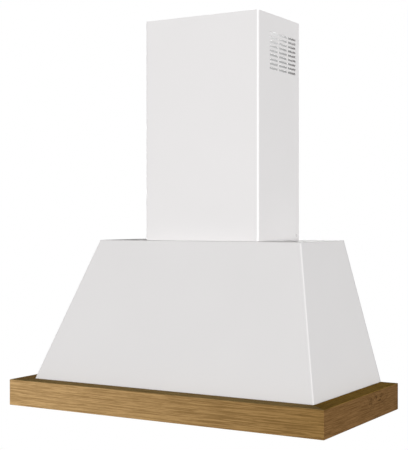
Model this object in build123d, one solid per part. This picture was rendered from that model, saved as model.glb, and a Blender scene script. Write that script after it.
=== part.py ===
from build123d import *

import os
from math import cos, radians, sin, sqrt

# Chimney range hood with an oak frame, in millimetres.
# +X is to the right seen from the front, +Y goes into the wall and +Z is up.
# The origin is on the wall plane and the centre line, level with the underside of the oak frame.

# Oak frame
FRAME_WIDTH = 900.0
FRAME_DEPTH = 456.0
RAIL_HEIGHT = 67.0
RAIL_THICKNESS = 46.5
RAIL_EDGE_RADIUS = 1.2
DOWEL_RADIUS = 4.0
DOWEL_LENGTH = 38.0
DOWEL_END_GAP = 0.5
DOWELS_PER_MITRE = 2

# Canopy of folded sheet
CANOPY_RISE = 364.0
CANOPY_TOP_WIDTH = 600.0
CANOPY_TOP_DEPTH = 261.0
CANOPY_SHEET = 1.2
CANOPY_FOLD = 3.0
CANOPY_TOP_EDGE = 2.0
SKIRT_LEVEL = 5.0
REAR_FLANGE = 20.0

# Back panel and its wall bolts
BACK_SHEET = 1.5
WALL_BOLT_RADIUS = 4.25
WALL_BOLT_SPACING_X = 400.0
WALL_BOLT_SPACING_Z = 240.0
WALL_BOLT_CENTRE_Z = 250.0
RIVET_RADIUS = 2.0
RIVET_HEAD_RADIUS = 4.0
RIVET_HEAD = 1.2
RIVETS_PER_SIDE = 4
RIVETS_ON_TOP = 3

# Bottom panel
PANEL_LEVEL = 15.0
PANEL_SHEET = 1.0
PANEL_RIM_HEIGHT = 40.0
PANEL_CLEARANCE = 0.2
FRONT_RAIL_SCREWS = 4
SIDE_RAIL_SCREWS = 2

# Grease filters
FILTER_SIDE_MARGIN = 49.5
CONTROL_STRIP_DEPTH = 107.5
FILTER_THICKNESS = 9.0
FILTER_BORDER = 14.0
FILTER_FRONT_BAR = 34.0
FILTER_LIP = 3.0
FILTER_LIP_SHEET = 1.2
FILTER_GAP = 2.0
FILTER_SPACING = 28.0
FILTER_WALL_DISTANCE = 34.0
MESH_CLEARANCE = 0.2
MESH_SHEET = 1.5
PIVOT_RADIUS = 2.5
PIVOT_LENGTH = 6.0
LUG_THICKNESS = 3.0
LUG_MARGIN = 3.5

# Filter latches
LATCH_WINDOW_WIDTH = 64.0
LATCH_FRONT_WALL = 8.0
LATCH_SHEET = 2.0
LATCH_BODY_DEPTH = 11.6
LATCH_GUIDE = 3.0
LATCH_CLEARANCE = 0.2
LATCH_LEVEL = 3.2
LATCH_TRAVEL = 6.0
LATCH_SPRING_ROOM = 2.2
TONGUE_WIDTH = 20.0
TONGUE_REACH = 4.0
GRIP_WIDTH = 50.0
GRIP_DROP = 13.0
GRIP_THICKNESS = 3.0
SPRING_CHORD = 44.0
SPRING_SHEET = 0.6
SPRING_GAP = 0.2
KEEPER_WIDTH = 18.0
KEEPER_LENGTH = 30.0
KEEPER_SHEET = 0.8
KEEPER_GAP = 0.3
KEEPER_NOSE = 2.5
KEEPER_NOTCH = 6.0

# Lamps
LAMP_OUTWARD = 66.0
LAMP_FLANGE_RADIUS = 36.0
LAMP_FLANGE = 2.5
LAMP_TUBE_RADIUS = 30.0
LAMP_TUBE_WALL = 1.5
LAMP_TUBE_HEIGHT = 12.0
LAMP_LIP = 2.0
LAMP_LENS = 2.5
LAMP_HOUSING_HEIGHT = 26.0
LAMP_CLEARANCE = 0.3
LAMP_FIN_COUNT = 12
LAMP_FIN_GAP = 3.0
LAMP_FIN_DEPTH = 7.0

# Controls
BUTTON_COUNT = 5
BUTTON_PITCH = 30.0
BUTTON_RADIUS = 8.0
BUTTON_CLEARANCE = 0.25
BUTTON_PROUD = 3.0
BUTTON_CROWN = 0.8
BUTTON_TRAVEL = 1.5
BUTTON_FLANGE = 1.6
BUTTON_FLANGE_HEIGHT = 1.5
BUTTON_FLANGE_GAP = 0.1
BUTTON_STEM_RADIUS = 3.0
BUTTON_STEM = 5.0
FASCIA_END = 35.0
FASCIA_DEPTH = 40.0
FASCIA_THICKNESS = 2.5
FASCIA_CORNER = 5.0
FASCIA_LIP = 6.0
FASCIA_RIM = 1.5
FASCIA_RIM_HEIGHT = 4.0
CONTROL_BOX_WALL = 2.0
CONTROL_BOX_HEIGHT = 30.0
BOARD_THICKNESS = 1.6
BOARD_CLEARANCE = 0.5
BOARD_POST_RADIUS = 3.0
SWITCH_SIZE = 6.0
SWITCH_HEIGHT = 4.0
SWITCH_GAP = 0.5

# Outlet collar and damper
OUTLET_RADIUS = 74.5
OUTLET_WALL = 2.0
OUTLET_HEIGHT = 60.0
COLLAR_PLATE_WIDTH = 180.0
COLLAR_PLATE_SHEET = 3.0
COLLAR_SCREW_INSET = 12.0
DAMPER_LEVEL = 24.0
DAMPER_STOP_WIDTH = 4.0
DAMPER_STOP_SHEET = 2.0
DAMPER_GAP = 1.5
DAMPER_SHEET = 1.5
DAMPER_AXIS_OFFSET = 4.5
DAMPER_PIN_RADIUS = 1.5
DAMPER_BARREL_WALL = 1.5
DAMPER_BARREL_END = 12.0
DAMPER_STOP_GAP = 0.2

# Blower
IMPELLER_RADIUS = 74.0
IMPELLER_HALF_WIDTH = 60.0
IMPELLER_DISC = 3.0
IMPELLER_RING = 3.0
IMPELLER_RING_WIDTH = 9.0
BLADE_COUNT = 32
BLADE_DEPTH = 14.0
BLADE_THICKNESS = 1.0
BLADE_LEAN = 28.0
HUB_RADIUS = 12.0
HUB_HALF_LENGTH = 10.0
VOLUTE_GAP = 10.0
VOLUTE_STEP = 10.0
CASING_WALL = 2.2
CASING_SIDE_GAP = 8.0
CASING_FLANGE = 3.0
INLET_RADIUS = 62.0
BLOWER_AXIS_DROP = 181.0
SHAFT_RADIUS = 4.0
SHAFT_TAIL = 5.0
BEARING_RADIUS = 11.0
BEARING_WIDTH = 7.0
MOTOR_RADIUS = 42.0
MOTOR_LENGTH = 74.0
MOTOR_HUB_GAP = 3.0
MOTOR_FLANGE = 6.0
MOTOR_FLANGE_SHEET = 2.0
BRACKET_SHEET = 2.0
BRACKET_ARMS = 3
BRACKET_ARM_WIDTH = 18.0
BRACKET_RING = 8.0
BRACKET_REACH = 16.0
CAPACITOR_RADIUS = 15.0
CAPACITOR_LENGTH = 50.0
CAPACITOR_FOOT = 2.0
CAPACITOR_DROP = 30.0

# Chimney
CHIMNEY_WIDTH = 339.0
CHIMNEY_DEPTH = 234.0
CHIMNEY_HEIGHT = 583.0
CHIMNEY_SHEET = 1.0
CHIMNEY_FOLD = 5.0
CHIMNEY_FLANGE = 20.0
SLEEVE_GAP = 0.5
EXTENSION_TOP_GAP = 2.0
VENT_COLUMNS = 3
VENT_ROWS = 9
VENT_LENGTH = 47.0
VENT_HEIGHT = 5.4
VENT_PITCH_Y = 52.1
VENT_PITCH_Z = 11.3
VENT_WALL_DISTANCE = 43.5
VENT_TOP_DISTANCE = 49.0
VENT_INNER_MARGIN = 1.5
BASE_BRACKET_HEIGHT = 28.0
BASE_BRACKET_FOOT = 20.0
BASE_BRACKET_SHEET = 1.5
BASE_BRACKET_END_GAP = 8.0
CHIMNEY_SCREW_RISE = 13.0
CHIMNEY_SCREW_WALL_DISTANCE = 18.0
WALL_BRACKET_HEIGHT = 40.0
WALL_BRACKET_SHEET = 1.5
WALL_BRACKET_DROP = 170.0
WALL_BRACKET_JOGGLE = 8.0
WALL_BRACKET_HOLE_RADIUS = 3.0
WALL_BRACKET_HOLE_SPACING = 180.0

# Terminal box, cable grommet and inner lead
TERMINAL_WIDTH = 80.0
TERMINAL_HEIGHT = 60.0
TERMINAL_DEPTH = 45.0
TERMINAL_WALL = 2.0
TERMINAL_FLANGE_GAP = 19.4
TERMINAL_LEVEL = 250.0
GROMMET_BORE = 4.0
GROMMET_NECK_RADIUS = 8.0
GROMMET_FLANGE_RADIUS = 12.0
GROMMET_FLANGE = 2.5
GROMMET_X = 118.0
GROMMET_WALL_DISTANCE = 60.0
LEAD_RADIUS = 3.0
LEAD_SEAT_GAP = 0.2
LEAD_BEND = 16.0
LEAD_RIM_DISTANCE = 11.0
LEAD_SIDE_DISTANCE = 22.0
CLIP_LENGTH = 8.0
CLIP_WALL = 2.0
CLIP_CLEARANCE = 0.1

# Fasteners
SCREW_RADIUS = 2.0
SCREW_HEAD_RADIUS = 4.0
SCREW_HEAD = 2.2
SCREW_CLEARANCE = 0.05
RAIL_SCREW_LENGTH = 30.0
SCREW_TIP = 3.0

# Running clearance of pins and shafts in their holes
RUNNING_CLEARANCE = 0.06

# Levels and places that follow from the sizes above
BODY_WIDTH = FRAME_WIDTH - 2 * RAIL_THICKNESS
BODY_DEPTH = FRAME_DEPTH - RAIL_THICKNESS
CANOPY_TOP = RAIL_HEIGHT + CANOPY_RISE
CHIMNEY_TOP = CANOPY_TOP + CHIMNEY_HEIGHT
REAR_LAYER = BACK_SHEET + CANOPY_SHEET
PANEL_TOP = PANEL_LEVEL + PANEL_SHEET
PANEL_HALF_WIDTH = BODY_WIDTH / 2 - CANOPY_SHEET - PANEL_CLEARANCE
PANEL_FRONT = -BODY_DEPTH + CANOPY_SHEET + PANEL_CLEARANCE
PANEL_BACK = -REAR_LAYER - PANEL_CLEARANCE
RAIL_SCREW_LEVEL = PANEL_LEVEL + PANEL_RIM_HEIGHT / 2
FILTER_WIDTH = (BODY_WIDTH - FILTER_SPACING) / 2 - FILTER_SIDE_MARGIN
FILTER_LENGTH = BODY_DEPTH - FILTER_WALL_DISTANCE - CONTROL_STRIP_DEPTH
FILTER_OFFSET = (FILTER_SPACING + FILTER_WIDTH) / 2
LAMP_X = FILTER_OFFSET + LAMP_OUTWARD
FILTER_REAR = -FILTER_WALL_DISTANCE
FILTER_FRONT = FILTER_REAR - FILTER_LENGTH
PIVOT_Y = FILTER_REAR - FILTER_THICKNESS / 2
PIVOT_Z = PANEL_LEVEL + FILTER_THICKNESS / 2
LATCH_Z = PANEL_LEVEL + LATCH_LEVEL
LATCH_WINDOW_DEPTH = LATCH_CLEARANCE + LATCH_BODY_DEPTH + LATCH_TRAVEL + LATCH_SPRING_ROOM
STRIP_Y = (FILTER_FRONT - FILTER_GAP + PANEL_FRONT) / 2
FASCIA_WIDTH = (BUTTON_COUNT - 1) * BUTTON_PITCH + 2 * FASCIA_END
COLLAR_Y = -CHIMNEY_DEPTH / 2
OUTLET_BORE = OUTLET_RADIUS - OUTLET_WALL
NECK_TOP = CANOPY_TOP - CANOPY_SHEET
VOLUTE_RADIUS = IMPELLER_RADIUS + VOLUTE_GAP
NECK_DEPTH = VOLUTE_RADIUS + 3 * VOLUTE_STEP
CASING_HALF = IMPELLER_HALF_WIDTH + CASING_SIDE_GAP
AXIS_Y = COLLAR_Y - NECK_DEPTH / 2
AXIS_Z = CANOPY_TOP - BLOWER_AXIS_DROP
MOTOR_INNER_END = -HUB_HALF_LENGTH - MOTOR_HUB_GAP
BASE_BRACKET_TOP = CANOPY_TOP + BASE_BRACKET_HEIGHT
SLEEVE_INSET = CHIMNEY_SHEET + SLEEVE_GAP
EXTENSION_HALF = CHIMNEY_WIDTH / 2 - SLEEVE_INSET
EXTENSION_TOP = CHIMNEY_TOP - EXTENSION_TOP_GAP
EXTENSION_FLANGE_FRONT = -SLEEVE_INSET - CHIMNEY_SHEET
SIDES = {"left": -1, "right": 1}
BUTTON_NAMES = ["off", "speed_low", "speed_medium", "speed_high", "light"]


def block(x0, x1, y0, y1, z0, z1):
    """A box between two opposite corners."""
    return Pos((x0 + x1) / 2, (y0 + y1) / 2, (z0 + z1) / 2) * Box(x1 - x0, y1 - y0, z1 - z0)


def rod(start, direction, radius, length):
    """A cylinder that starts at a point and runs along a direction."""
    return extrude(Plane(origin=start, z_dir=direction) * Circle(radius), length)


def screw(seat, direction, length):
    """A screw whose head sits on a point and whose shank runs along a direction."""
    away = tuple(-part for part in direction)
    return rod(seat, direction, SCREW_RADIUS, length) + rod(seat, away, SCREW_HEAD_RADIUS, SCREW_HEAD)


def screw_hole(seat, direction, length):
    """The hole that a screw's shank fills, with its clearance."""
    return rod(seat, direction, SCREW_RADIUS + SCREW_CLEARANCE, length)


def group(pieces):
    """Separate solids kept together in one node."""
    return Compound([piece.solid() for piece in pieces])


def plan(half_width, front, back, radius, level):
    """A rectangle seen from above, with its two front corners rounded."""
    outline = Pos(0, (front + back) / 2, level) * Rectangle(2 * half_width, back - front)
    return fillet(outline.vertices().sort_by(Axis.Y)[:2], radius)


def wall_plate(points, back, thickness):
    """A plate parallel to the wall, from an outline of (x, z) points, reaching forward from its back."""
    plane = Plane(origin=(0, back, 0), x_dir=(1, 0, 0), z_dir=(0, -1, 0))
    return extrude(plane * Polygon(*points, align=None), thickness, dir=(0, -1, 0))


def standing_plate(points, level, height):
    """A plate of one height that stands on a level, from an outline of (x, y) points."""
    return extrude(Pos(0, 0, level) * Polygon(*points, align=None), height, dir=(0, 0, 1))


def cut_all(shape, cutters):
    """A shape with every cutter taken away."""
    for cutter in cutters:
        shape = shape - cutter
    return shape


# Oak frame


def mitre_middle(side):
    """The middle of a mitre, seen from above."""
    return side * (FRAME_WIDTH - RAIL_THICKNESS) / 2, -FRAME_DEPTH + RAIL_THICKNESS / 2


def dowel_rods(side, radius, length):
    """Rods square to a mitre, evenly spaced over the rail's height."""
    x, y = mitre_middle(side)
    across = (side * sqrt(0.5), sqrt(0.5), 0)
    reach = length / 2 * sqrt(0.5)
    levels = [RAIL_HEIGHT * (i + 1) / (DOWELS_PER_MITRE + 1) for i in range(DOWELS_PER_MITRE)]
    return [rod((x - side * reach, y - reach, z), across, radius, length) for z in levels]


def dowel_holes(side):
    """The holes for a mitre's dowels."""
    return dowel_rods(side, DOWEL_RADIUS + SCREW_CLEARANCE, DOWEL_LENGTH + 2 * DOWEL_END_GAP)


def mitre_dowels():
    """The dowels across both mitres."""
    return group([d for side in SIDES.values() for d in dowel_rods(side, DOWEL_RADIUS, DOWEL_LENGTH)])


def front_rail_screw_seats():
    """Head seats on the bottom panel's front rim."""
    pitch = BODY_WIDTH / FRONT_RAIL_SCREWS
    xs = [pitch * (i + 0.5) - BODY_WIDTH / 2 for i in range(FRONT_RAIL_SCREWS)]
    return [((x, PANEL_FRONT + PANEL_SHEET, RAIL_SCREW_LEVEL), (0, -1, 0)) for x in xs]


def side_rail_screw_seats(side):
    """Head seats on the bottom panel's rim at one side."""
    pitch = BODY_DEPTH / SIDE_RAIL_SCREWS
    x = side * (PANEL_HALF_WIDTH - PANEL_SHEET)
    ys = [-pitch * (i + 0.5) for i in range(SIDE_RAIL_SCREWS)]
    return [((x, y, RAIL_SCREW_LEVEL), (side, 0, 0)) for y in ys]


def rail_screw_seats():
    """All the screws that hold the panel, the skirt and the rails together."""
    return front_rail_screw_seats() + side_rail_screw_seats(-1) + side_rail_screw_seats(1)


def rail_screw_holes():
    """Holes for the rail screws through everything they pass."""
    return [screw_hole(seat, way, RAIL_SCREW_LENGTH + DOWEL_END_GAP) for seat, way in rail_screw_seats()]


def eased(rail, along):
    """A rail with its long edges eased, apart from the upper one against the canopy."""
    edges = rail.edges().filter_by(along)
    inner_top = edges.sort_by(lambda edge: edge.center().Z * 10 - inner_distance(edge))[-1]
    return fillet([edge for edge in edges if edge != inner_top], RAIL_EDGE_RADIUS)


def inner_distance(edge):
    """How far an edge lies outside the canopy's skirt."""
    middle = edge.center()
    return max(abs(middle.X) - BODY_WIDTH / 2, -BODY_DEPTH - middle.Y)


def front_rail():
    """The front rail, mitred at both ends."""
    half, inner = FRAME_WIDTH / 2, BODY_WIDTH / 2
    outline = [(-half, -FRAME_DEPTH), (half, -FRAME_DEPTH), (inner, -BODY_DEPTH), (-inner, -BODY_DEPTH)]
    rail = eased(standing_plate(outline, 0, RAIL_HEIGHT), Axis.X)
    return cut_all(rail, dowel_holes(-1) + dowel_holes(1) + rail_screw_holes())


def side_rail(side):
    """A side rail, mitred at the front and square at the wall."""
    half, inner = side * FRAME_WIDTH / 2, side * BODY_WIDTH / 2
    outline = [(half, -FRAME_DEPTH), (half, 0), (inner, 0), (inner, -BODY_DEPTH)]
    rail = eased(standing_plate(outline, 0, RAIL_HEIGHT), Axis.Y)
    return cut_all(rail, dowel_holes(side) + rail_screw_holes())


def rail_screws():
    """The screws from inside the skirt into the rails."""
    return group([screw(seat, way, RAIL_SCREW_LENGTH) for seat, way in rail_screw_seats()])


# Canopy


def canopy_half_width(level):
    """Half the canopy's width at a level on its leaning faces."""
    share = (level - RAIL_HEIGHT) / CANOPY_RISE
    return (BODY_WIDTH + (CANOPY_TOP_WIDTH - BODY_WIDTH) * share) / 2


def canopy_front(level):
    """The canopy's front at a level on its leaning face."""
    share = (level - RAIL_HEIGHT) / CANOPY_RISE
    return -BODY_DEPTH - (CANOPY_TOP_DEPTH - BODY_DEPTH) * share


def canopy_plan(inset, fold, back, level):
    """The canopy's outline at a level, with its walls moved in."""
    return plan(canopy_half_width(level) - inset, canopy_front(level) + inset, back, fold, level)


def canopy_skirt(inset, fold, back):
    """The upright part behind the rails."""
    outline = plan(BODY_WIDTH / 2 - inset, -BODY_DEPTH + inset, back, fold, SKIRT_LEVEL)
    return extrude(outline, RAIL_HEIGHT - SKIRT_LEVEL)


def canopy_hat(inset, fold, back, top):
    """The leaning part above the rails."""
    lower = canopy_plan(inset, fold, back, RAIL_HEIGHT)
    return loft([lower, canopy_plan(inset, fold, back, top)], ruled=True)


def rear_opening():
    """The gap between the canopy's rear flanges, open below."""
    low, high = canopy_half_width(RAIL_HEIGHT), canopy_half_width(CANOPY_TOP - REAR_FLANGE)
    right = [(low, SKIRT_LEVEL), (low, RAIL_HEIGHT), (high, CANOPY_TOP - REAR_FLANGE)]
    right = [(x - REAR_FLANGE, z) for x, z in right]
    left = [(-x, z) for x, z in reversed(right)]
    return wall_plate(right + left, -BACK_SHEET, CANOPY_SHEET)


def canopy_shell():
    """The folded canopy: skirt, leaning faces, top and rear flanges."""
    hat = canopy_hat(0, CANOPY_FOLD, -BACK_SHEET, CANOPY_TOP)
    top_edges = hat.faces().sort_by(Axis.Z)[-1].edges().sort_by(lambda edge: edge.center().Y)[:-1]
    outer = canopy_skirt(0, CANOPY_FOLD, -BACK_SHEET) + fillet(top_edges, CANOPY_TOP_EDGE)
    fold = CANOPY_FOLD - CANOPY_SHEET
    inner = canopy_skirt(CANOPY_SHEET, fold, -REAR_LAYER)
    inner += canopy_hat(CANOPY_SHEET, fold, -REAR_LAYER, NECK_TOP)
    bore = rod((0, COLLAR_Y, NECK_TOP), (0, 0, 1), OUTLET_BORE, CANOPY_SHEET)
    grommet_hole = rod(grommet_place(NECK_TOP), (0, 0, 1), GROMMET_NECK_RADIUS, CANOPY_SHEET)
    cutters = [inner, rear_opening(), bore, grommet_hole]
    return cut_all(outer, cutters + collar_screw_holes() + rail_screw_holes() + rivet_holes())


def back_panel():
    """The flat sheet behind the canopy, with the wall bolt holes."""
    low, high = canopy_half_width(RAIL_HEIGHT), canopy_half_width(CANOPY_TOP)
    right = [(low, 0), (low, RAIL_HEIGHT), (high, CANOPY_TOP)]
    left = [(-x, z) for x, z in reversed(right)]
    bolts = [rod((x, 0, z), (0, -1, 0), WALL_BOLT_RADIUS, BACK_SHEET) for x, z in wall_bolt_places()]
    return cut_all(wall_plate(right + left, 0, BACK_SHEET), bolts + rivet_holes())


def wall_bolt_places():
    """The four wall bolts, as (x, z)."""
    half_x, half_z = WALL_BOLT_SPACING_X / 2, WALL_BOLT_SPACING_Z / 2
    return [(x, WALL_BOLT_CENTRE_Z + z) for x in (-half_x, half_x) for z in (-half_z, half_z)]


def rivet_places():
    """The rivets along the middle of the canopy's rear flanges, as (x, z)."""
    rise = CANOPY_RISE / RIVETS_PER_SIDE
    levels = [RAIL_HEIGHT + rise * (i + 0.5) for i in range(RIVETS_PER_SIDE)]
    sides = [(side * (canopy_half_width(z) - REAR_FLANGE / 2), z) for side in SIDES.values() for z in levels]
    pitch = CANOPY_TOP_WIDTH / RIVETS_ON_TOP
    xs = [pitch * (i + 0.5) - CANOPY_TOP_WIDTH / 2 for i in range(RIVETS_ON_TOP)]
    return sides + [(x, CANOPY_TOP - REAR_FLANGE / 2) for x in xs]


def rivet_holes():
    """Holes for the rivets through the back panel and the flanges."""
    return [rod((x, 0, z), (0, -1, 0), RIVET_RADIUS + SCREW_CLEARANCE, REAR_LAYER) for x, z in rivet_places()]


def back_panel_rivets():
    """Rivets flush with the back, with their heads inside."""
    shanks = [rod((x, 0, z), (0, -1, 0), RIVET_RADIUS, REAR_LAYER) for x, z in rivet_places()]
    heads = [rod((x, -REAR_LAYER, z), (0, -1, 0), RIVET_HEAD_RADIUS, RIVET_HEAD) for x, z in rivet_places()]
    return group([shank + head for shank, head in zip(shanks, heads)])


# Bottom panel


def bottom_panel():
    """The pan inside the skirt, with apertures for filters, lamps and controls."""
    fold = CANOPY_FOLD - CANOPY_SHEET
    pan = extrude(plan(PANEL_HALF_WIDTH, PANEL_FRONT, PANEL_BACK, fold, PANEL_LEVEL), PANEL_RIM_HEIGHT)
    hollow = block(PANEL_SHEET - PANEL_HALF_WIDTH, PANEL_HALF_WIDTH - PANEL_SHEET, PANEL_FRONT + PANEL_SHEET,
                   PANEL_BACK - PANEL_SHEET, PANEL_TOP, PANEL_LEVEL + PANEL_RIM_HEIGHT)
    cutters = [hollow, control_aperture(PANEL_LEVEL, PANEL_SHEET)]
    for side in SIDES.values():
        centre = side * FILTER_OFFSET
        half = FILTER_WIDTH / 2 + FILTER_GAP
        notch = TONGUE_WIDTH / 2 + FILTER_GAP
        front, rear = FILTER_FRONT - FILTER_GAP, FILTER_REAR + FILTER_GAP
        tip = front - KEEPER_NOTCH
        cutters.append(block(centre - half, centre + half, front, rear, PANEL_LEVEL, PANEL_TOP))
        cutters.append(block(centre - notch, centre + notch, tip, front, PANEL_LEVEL, PANEL_TOP))
        lamp = (side * LAMP_X, STRIP_Y, PANEL_LEVEL)
        cutters.append(rod(lamp, (0, 0, 1), LAMP_TUBE_RADIUS + LAMP_CLEARANCE, PANEL_SHEET))
    return cut_all(pan, cutters + rail_screw_holes())


# Grease filters


def latch_window(centre):
    """The cut in a filter's front bar that holds its latch, with guides and the tongue's slot."""
    front = FILTER_FRONT + LATCH_FRONT_WALL
    back = front + LATCH_WINDOW_DEPTH
    half = LATCH_WINDOW_WIDTH / 2
    low, high = LATCH_Z - LATCH_CLEARANCE, LATCH_Z + LATCH_SHEET + LATCH_CLEARANCE
    guide = half + LATCH_GUIDE
    tongue = TONGUE_WIDTH / 2 + LATCH_CLEARANCE
    window = block(centre - half, centre + half, front, back, PANEL_LEVEL, PANEL_LEVEL + FILTER_THICKNESS)
    guides = block(centre - guide, centre + guide, front, back, low, high)
    return window + guides + block(centre - tongue, centre + tongue, FILTER_FRONT, front, low, high)


def mesh_pocket(centre, clearance):
    """The space for a filter's mesh, as far in as a clearance says."""
    half = FILTER_WIDTH / 2 - FILTER_BORDER - clearance
    front, back = FILTER_FRONT + FILTER_FRONT_BAR + clearance, FILTER_REAR - FILTER_BORDER - clearance
    return centre - half, centre + half, front, back


def filter_frame(side):
    """A filter's frame, round along its rear edge, with its two pivots."""
    centre = side * FILTER_OFFSET
    half = FILTER_WIDTH / 2
    top = PANEL_LEVEL + FILTER_THICKNESS
    frame = block(centre - half, centre + half, FILTER_FRONT, PIVOT_Y, PANEL_LEVEL, top)
    frame += rod((centre - half, PIVOT_Y, PIVOT_Z), (1, 0, 0), FILTER_THICKNESS / 2, FILTER_WIDTH)
    reach = half + PIVOT_LENGTH
    frame += rod((centre - reach, PIVOT_Y, PIVOT_Z), (1, 0, 0), PIVOT_RADIUS, 2 * reach)
    pocket = block(*mesh_pocket(centre, 0), PANEL_LEVEL + FILTER_LIP_SHEET, top)
    opening = block(*mesh_pocket(centre, FILTER_LIP), PANEL_LEVEL, top)
    return frame - pocket - opening - latch_window(centre)


def filter_mesh(side):
    """A filter's pack of aluminium mesh, as one plain sheet of like mass on the frame's lip."""
    floor = PANEL_LEVEL + FILTER_LIP_SHEET
    return block(*mesh_pocket(side * FILTER_OFFSET, MESH_CLEARANCE), floor, floor + MESH_SHEET)


def latch_front():
    """Where a latch's body begins at rest."""
    return FILTER_FRONT + LATCH_FRONT_WALL + LATCH_CLEARANCE


def filter_latch(side):
    """A filter's sliding latch: body in its guides, tongue in front and grip below."""
    centre = side * FILTER_OFFSET
    front = latch_front()
    back = front + LATCH_BODY_DEPTH
    half = LATCH_WINDOW_WIDTH / 2 + LATCH_GUIDE - LATCH_CLEARANCE
    top = LATCH_Z + LATCH_SHEET
    tongue, grip = TONGUE_WIDTH / 2, GRIP_WIDTH / 2
    body = block(centre - half, centre + half, front, back, LATCH_Z, top)
    body += block(centre - tongue, centre + tongue, FILTER_FRONT - TONGUE_REACH, front, LATCH_Z, top)
    floor = LATCH_Z - GRIP_DROP
    return body + block(centre - grip, centre + grip, back - GRIP_THICKNESS, back, floor, LATCH_Z)


def latch_spring(side):
    """A bow spring between a latch and its window's rear wall."""
    centre = side * FILTER_OFFSET
    middle = latch_front() + LATCH_BODY_DEPTH + SPRING_GAP
    ends = FILTER_FRONT + LATCH_FRONT_WALL + LATCH_WINDOW_DEPTH - SPRING_GAP
    rise = ends - middle
    radius = (SPRING_CHORD ** 2 / 4 + rise ** 2) / (2 * rise)
    ring = Pos(centre, middle + radius, LATCH_Z) * (Circle(radius) - Circle(radius - SPRING_SHEET))
    strip = extrude(ring, LATCH_SHEET)
    return strip & block(centre - radius, centre + radius, middle, ends, LATCH_Z, LATCH_Z + LATCH_SHEET)


def lug_places():
    """The inner faces of the four pivot lugs and the way each one reaches."""
    reach = FILTER_WIDTH / 2 + FILTER_GAP
    return [(side * FILTER_OFFSET + end * reach, end) for side in SIDES.values() for end in SIDES.values()]


def filter_pivot_lugs():
    """The lugs on the bottom panel that carry the filters' pivots."""
    margin = PIVOT_RADIUS + LUG_MARGIN
    bore = PIVOT_RADIUS + RUNNING_CLEARANCE
    lugs = []
    for face, way in lug_places():
        low, high = sorted((face, face + way * LUG_THICKNESS))
        lug = block(low, high, PIVOT_Y - margin, PIVOT_Y + margin, PANEL_TOP, PIVOT_Z + margin)
        lugs.append(lug - rod((low, PIVOT_Y, PIVOT_Z), (1, 0, 0), bore, LUG_THICKNESS))
    return group(lugs)


def filter_keeper(side):
    """The leaf spring on the bottom panel that a latch's tongue rests on."""
    low, high = side * FILTER_OFFSET - KEEPER_WIDTH / 2, side * FILTER_OFFSET + KEEPER_WIDTH / 2
    tip = FILTER_FRONT - FILTER_GAP + KEEPER_NOSE / 2
    leaf = block(low, high, tip - KEEPER_LENGTH, tip, PANEL_TOP, PANEL_TOP + KEEPER_SHEET)
    return leaf + block(low, high, tip - KEEPER_NOSE, tip, PANEL_TOP, LATCH_Z - KEEPER_GAP)


# Lamps


def lamp_axis(side, level):
    """A point on a lamp's axis."""
    return (side * LAMP_X, STRIP_Y, level)


def lamp_bezel(side):
    """A lamp's bezel: flange below the panel, tube through it and a lip under the lens."""
    up = (0, 0, 1)
    inner = LAMP_TUBE_RADIUS - LAMP_TUBE_WALL
    floor = PANEL_LEVEL - LAMP_FLANGE
    flange = rod(lamp_axis(side, floor), up, LAMP_FLANGE_RADIUS, LAMP_FLANGE)
    flange = chamfer(flange.edges().group_by(Axis.Z)[0], LAMP_FLANGE / 2)
    tube = rod(lamp_axis(side, PANEL_LEVEL), up, LAMP_TUBE_RADIUS, LAMP_TUBE_HEIGHT)
    bore = rod(lamp_axis(side, floor + LAMP_FLANGE / 2), up, inner, LAMP_FLANGE + LAMP_TUBE_HEIGHT)
    return flange + tube - bore - rod(lamp_axis(side, floor), up, inner - LAMP_LIP, LAMP_FLANGE)


def lamp_lens(side):
    """A lamp's frosted lens, on the bezel's lip."""
    radius = LAMP_TUBE_RADIUS - LAMP_TUBE_WALL - LAMP_CLEARANCE
    return rod(lamp_axis(side, PANEL_LEVEL - LAMP_FLANGE / 2), (0, 0, 1), radius, LAMP_LENS)


def lamp_housing(side):
    """A lamp's finned housing, on top of the lens."""
    floor = PANEL_LEVEL - LAMP_FLANGE / 2 + LAMP_LENS
    radius = LAMP_TUBE_RADIUS - LAMP_TUBE_WALL - LAMP_CLEARANCE
    body = rod(lamp_axis(side, floor), (0, 0, 1), radius, LAMP_HOUSING_HEIGHT)
    x, y, _ = lamp_axis(side, 0)
    fin_floor = PANEL_LEVEL + LAMP_TUBE_HEIGHT
    slot = Pos(radius, 0) * Rectangle(2 * LAMP_FIN_DEPTH, LAMP_FIN_GAP)
    slots = [Pos(x, y, fin_floor) * (turn * slot) for turn in PolarLocations(0, LAMP_FIN_COUNT)]
    return cut_all(body, [extrude(cut, LAMP_HOUSING_HEIGHT) for cut in slots])


# Controls


def control_outline(inset, level):
    """The fascia's outline moved in, seen from above."""
    radius = FASCIA_CORNER
    outline = RectangleRounded(FASCIA_WIDTH - 2 * inset, FASCIA_DEPTH - 2 * inset, radius)
    return Pos(0, STRIP_Y, level) * outline


def control_aperture(level, height):
    """The opening in the bottom panel above the fascia."""
    return extrude(control_outline(FASCIA_LIP, level), height)


def button_xs():
    """The buttons' centres, left to right."""
    return [BUTTON_PITCH * (i - (BUTTON_COUNT - 1) / 2) for i in range(BUTTON_COUNT)]


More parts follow.
